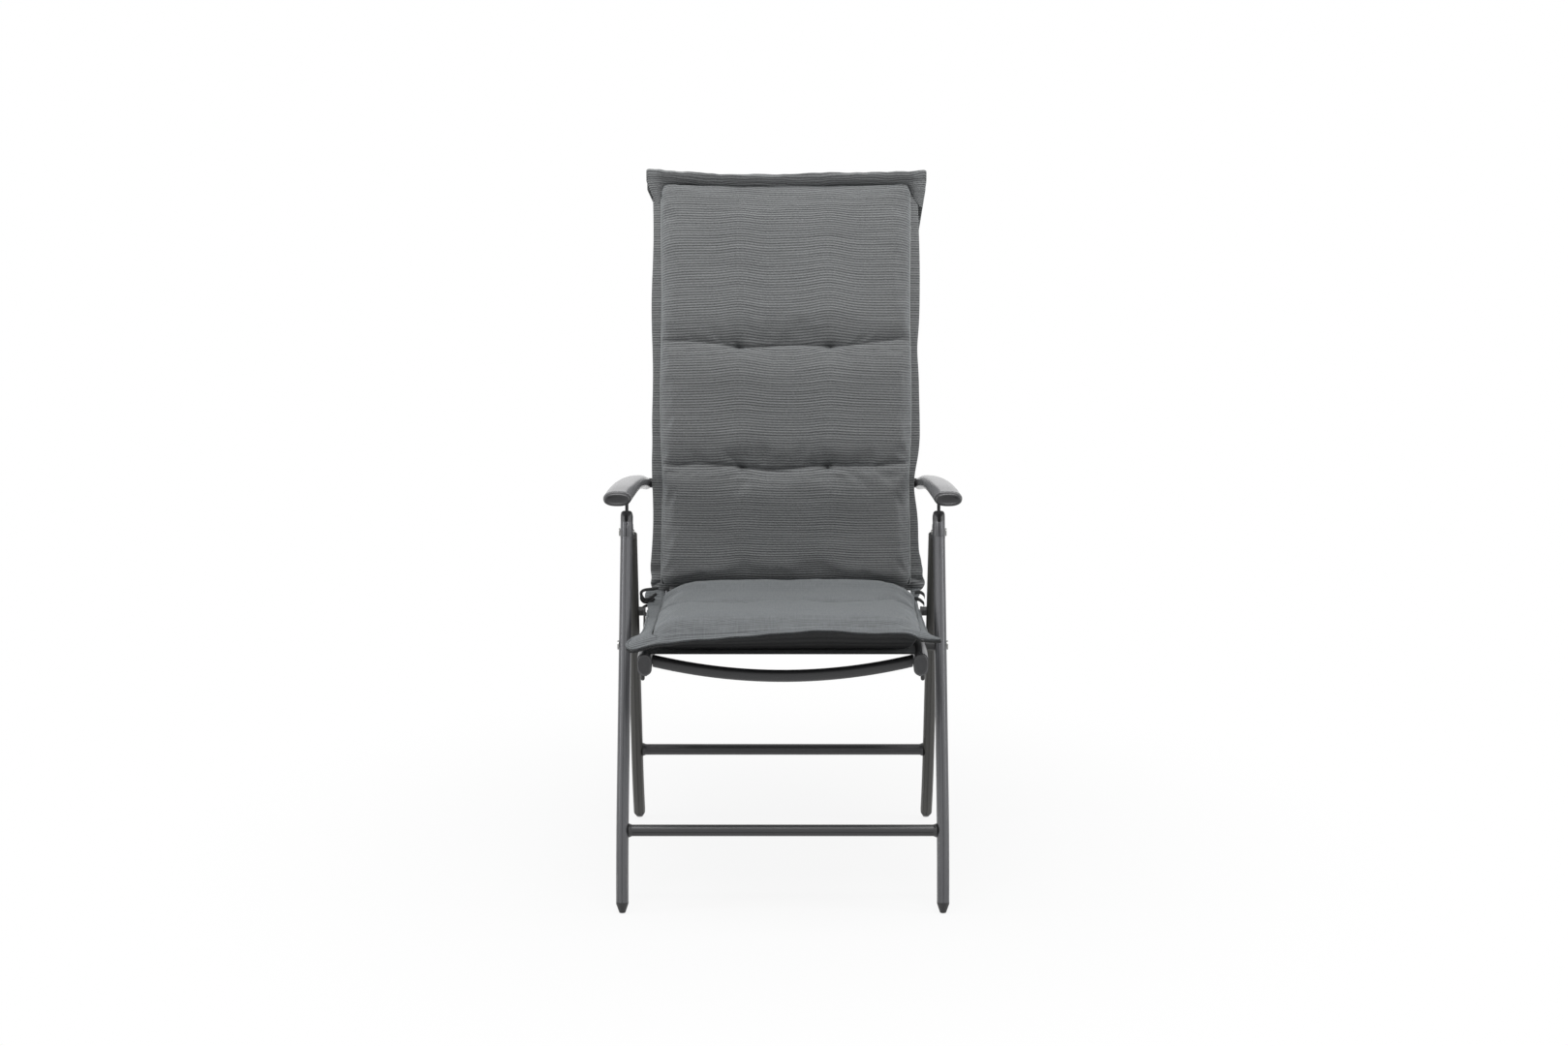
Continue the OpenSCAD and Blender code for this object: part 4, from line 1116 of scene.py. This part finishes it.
# %% Caps, straps and ties
LEG_LEAN = math.radians(28.3)
CAP_NARROWER = 0.905
CAP_TALLER = 0.0045
CAP_FOOT = 0.022
ALONG_LEG = np.array([0, math.sin(LEG_LEAN), math.cos(LEG_LEAN)])
OVER_LEG = np.array([0, -math.cos(LEG_LEAN), math.sin(LEG_LEAN)])


def dome_block(base, half, foot, shoulder, crest):
    """A block through the cap with a rounded top, which the cap is trimmed to."""
    outline = [(-half, foot), (half, foot)]
    outline += [(half * math.cos(a) ** 0.8, shoulder + (crest - shoulder) * math.sin(a))
                for a in np.linspace(0, math.pi / 2, 12)]
    outline += [(-x, h) for x, h in reversed(outline[2:-1])]
    work = bmesh.new()
    near, far = ([work.verts.new(base + (x, 0, 0) + h * ALONG_LEG + d * OVER_LEG) for x, h in outline]
                 for d in (-0.05, 0.05))
    count = len(outline)
    for k in range(count):
        work.faces.new((near[k], near[(k + 1) % count], far[(k + 1) % count], far[k]))
    work.faces.new(near[::-1])
    work.faces.new(far)
    bmesh.ops.recalc_face_normals(work, faces=work.faces)
    return from_work("dome", work)


def leg_cap(side):
    """The drawn cap, narrower, taller and rounded on top."""
    hinge = pivot["rear_leg_fold"]
    shell = bmesh.new()
    shell.from_mesh(nodes["leg_cap_" + side].data)
    bmesh.ops.remove_doubles(shell, verts=shell.verts, dist=0.00001)
    cap = from_work("leg_cap_dome_" + side, shell)
    low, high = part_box("leg_cap_" + side)
    middle = (low[0] + high[0]) / 2
    half = (high[0] - low[0]) / 2 * CAP_NARROWER + 0.0002
    # Three thin dark lines of painted shade stand for the grooves of the tube below the cap.
    groove_shade_lines = [middle - 0.0060, middle, middle + 0.0060]
    cap.data.materials.clear()
    cap.data.materials.append(two_tone(coat, cap_plastic, hinge.z + 0.0215, groove_shade_lines))
    base = np.array([middle, hinge.y, hinge.z])
    heights = np.array([np.dot(np.array(v.co) - base, ALONG_LEG) for v in cap.data.vertices])
    stretch = CAP_TALLER * np.clip((heights - CAP_FOOT) / (heights.max() - CAP_FOOT), 0, 1)
    for vertex, more in zip(cap.data.vertices, stretch):
        vertex.co += Vector(ALONG_LEG * more)
        vertex.co.x = middle + (vertex.co.x - middle) * CAP_NARROWER
    heights += stretch
    dome = dome_block(base, half, heights.min() - 0.01, heights.max() - 0.0115, heights.max() + 0.0003)
    keep = cap.modifiers.new("dome", "BOOLEAN")
    keep.operation, keep.solver, keep.object = "INTERSECT", "EXACT", dome
    edge = cap.modifiers.new("soft edges", "BEVEL")
    edge.width, edge.segments, edge.limit_method, edge.angle_limit = 0.0007, 2, "ANGLE", math.radians(35)
    bake(cap)
    bpy.data.objects.remove(dome)
    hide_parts("leg_cap_" + side)
    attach(cap, "front_frame")
    return cap


leg_caps = [leg_cap(side) for side in ("left", "right")]

# Each ring of a rail's cap: how far out it lies and its share of the full size. The rim stands proud.
OVAL_RINGS = [(-0.0030, 0.93), (0.0002, 1.0), (0.0022, 1.0), (0.0034, 0.96), (0.0037, 0.90), (0.0034, 0.85),
              (0.0024, 0.80), (0.0022, 0.70), (0.0026, 0.40), (0.0028, 0.10)]
ovals = []
u, v = soft_oval(48, 0.88)
for hand in (-1, 1):
    rings = [on_seat(np.column_stack([hand * 0.2125 + u * 0.0110 * share, np.full(48, 0.4690 + out),
                                      v * 0.0172 * share + 0.0010])) for out, share in OVAL_RINGS]
    ovals.append(loft("rail_cap", rings, cap_plastic, "seat"))
rail_caps = join("seat_rail_oval_caps", ovals)
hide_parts("seat_rail_caps")
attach(rail_caps, "seat")

nubs = []
turn = np.linspace(0, 2 * math.pi, 20, endpoint=False)
for hand in (-1, 1):
    rings = [np.column_stack([hand * 0.2165 + 0.0034 * share * np.cos(turn),
                              HINGE.y - 0.4545 + 0.0040 * share * np.sin(turn), np.full(20, height)])
             for height, share in ((0.4010, 0.9), (0.3900, 1.0), (0.3870, 0.9), (0.3855, 0.5))]
    nubs.append(loft("nub", rings, plastic, "seat"))
rubber_nubs = join("seat_rail_nubs", nubs)
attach(rubber_nubs, "seat")

elastic = [
    [(-0.2080, 0.074, 0.437), (-0.2180, 0.066, 0.4375), (-0.2290, 0.058, 0.4378), (-0.2342, 0.055, 0.4350),
     (-0.2340, 0.054, 0.4290), (-0.2290, 0.056, 0.4225), (-0.2200, 0.062, 0.4230), (-0.2100, 0.068, 0.4290)],
    [(-0.2342, 0.053, 0.4290), (-0.2338, 0.052, 0.4230), (-0.2290, 0.054, 0.4180), (-0.2220, 0.060, 0.4175),
     (-0.2130, 0.064, 0.4215)],
    [(-0.2140, 0.062, 0.4150), (-0.2230, 0.056, 0.4130), (-0.2300, 0.054, 0.4100), (-0.2340, 0.052, 0.4060),
     (-0.2300, 0.053, 0.4010), (-0.2260, 0.054, 0.3960)]]
straps = join("elastic_strap", [roll("strap", curve_through(line, 40), 0.0025, webbing, "seat")
                                for line in elastic])
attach(straps, "seat")

tie_lines = [
    [(0.2200, 0.088, 0.4260), (0.2290, 0.084, 0.4275), (0.2350, 0.081, 0.4240), (0.2362, 0.080, 0.4195)],
    [(0.2190, 0.080, 0.4180), (0.2270, 0.076, 0.4170), (0.2340, 0.072, 0.4120), (0.2350, 0.071, 0.4070)]]
ties = []
wide = np.array([0.0004, 0.0010, 0.0028])
for points in tie_lines:
    line = curve_through(points, 24)
    grid = np.stack([line - wide, line - wide * 0.33, line + wide * 0.33, line + wide], 1).reshape(-1, 3)
    # The tie ends take the darkened cover cloth, which is painted shade.
    tie = make_piece("tie", grid, sheet_faces(len(line), 4), grid[:, [0, 2]], cover_under_shaded, "seat")
    ties.append(smooth(tie, 0.0014, 1))
tie_ends = join("tie_ends", ties)
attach(tie_ends, "seat")
print("caps", len(leg_caps) + len(ovals), "nubs", len(nubs), "strap turns", len(elastic), "ties", len(ties))

# %% [markdown]
# ## Stitched tacks
# Each tuft is held by a short bar of thick thread. The bars are one small shape repeated by Geometry Nodes
# on a cloud of points, one cloud for the back and one for the seat.


# %% Stitched tacks
def tack_group():
    """Inputs: the points, the bar's length and thickness, and its thread."""
    tree = bpy.data.node_groups.new("stitched tacks", "GeometryNodeTree")
    face = tree.interface
    face.new_socket("Geometry", in_out="OUTPUT", socket_type="NodeSocketGeometry")
    face.new_socket("Geometry", in_out="INPUT", socket_type="NodeSocketGeometry")
    face.new_socket("Bar length", in_out="INPUT", socket_type="NodeSocketFloat")
    face.new_socket("Thread thickness", in_out="INPUT", socket_type="NodeSocketFloat")
    face.new_socket("Thread", in_out="INPUT", socket_type="NodeSocketMaterial")
    given = tree.nodes.new("NodeGroupInput")
    result = tree.nodes.new("NodeGroupOutput")
    bar = add_node(tree, "GeometryNodeMeshUVSphere", inputs={"Segments": 12, "Rings": 8, "Radius": 1.0})
    half = add_node(tree, "ShaderNodeMath", operation="MULTIPLY")
    half.inputs[1].default_value = 0.5
    size = tree.nodes.new("ShaderNodeCombineXYZ")
    spin = add_node(tree, "FunctionNodeRandomValue", data_type="FLOAT_VECTOR")
    spin.inputs["Min"].default_value = (0, -0.2, -0.25)
    spin.inputs["Max"].default_value = (0, 0.2, 0.25)
    spin.inputs["Seed"].default_value = 4
    put = tree.nodes.new("GeometryNodeInstanceOnPoints")
    real = tree.nodes.new("GeometryNodeRealizeInstances")
    dress = tree.nodes.new("GeometryNodeSetMaterial")
    link = tree.links.new
    link(given.outputs["Bar length"], half.inputs[0])
    link(half.outputs["Value"], size.inputs["X"])
    link(given.outputs["Thread thickness"], size.inputs["Y"])
    link(given.outputs["Thread thickness"], size.inputs["Z"])
    link(given.outputs["Geometry"], put.inputs["Points"])
    link(bar.outputs["Mesh"], put.inputs["Instance"])
    link(size.outputs["Vector"], put.inputs["Scale"])
    link(spin.outputs[0], put.inputs["Rotation"])
    link(put.outputs["Instances"], real.inputs["Geometry"])
    link(real.outputs["Geometry"], dress.inputs["Geometry"])
    link(given.outputs["Thread"], dress.inputs["Material"])
    link(dress.outputs["Geometry"], result.inputs["Geometry"])
    return tree


tacks = tack_group()
thread = surface_finish("dark thread", (0.03, 0.031, 0.032), 0.8, grain=900)


def stitched(name, points, body):
    mesh = bpy.data.meshes.new(name)
    mesh.from_pydata([tuple(p) for p in points], [], [])
    piece = bpy.data.objects.new(name.replace(" ", "_"), mesh)
    scene.collection.objects.link(piece)
    maker = piece.modifiers.new("tacks", "NODES")
    maker.node_group = tacks
    socket = {item.name: item.identifier for item in tacks.interface.items_tree if item.in_out == "INPUT"}
    maker[socket["Bar length"]] = 0.0085
    maker[socket["Thread thickness"]] = 0.0011
    maker[socket["Thread"]] = thread
    made = bpy.data.meshes.new_from_object(piece.evaluated_get(bpy.context.evaluated_depsgraph_get()))
    piece.modifiers.clear()
    piece.data = made
    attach(piece, body)
    return piece


def on_surface(pad, lay_on, tufts, above):
    """Where straight lines from above the tufts meet the pad."""
    places = []
    for x, s in tufts:
        start, end = lay_on([(x, s, above), (x, s, 0.0)])
        hit, place, *_ = pad.ray_cast(Vector(start), Vector(end - start))
        places.append(place if hit else Vector(start))
    return places


bpy.context.view_layer.update()
back_points = on_surface(back_pad, on_back, TUFTS_BACK, 0.09)
seat_points = on_surface(seat_pad, on_seat, TUFTS_SEAT, 0.12)
stitched("back tacks", back_points, "back")
stitched("seat tacks", seat_points, "seat")
print("tacks", len(back_points) + len(seat_points))
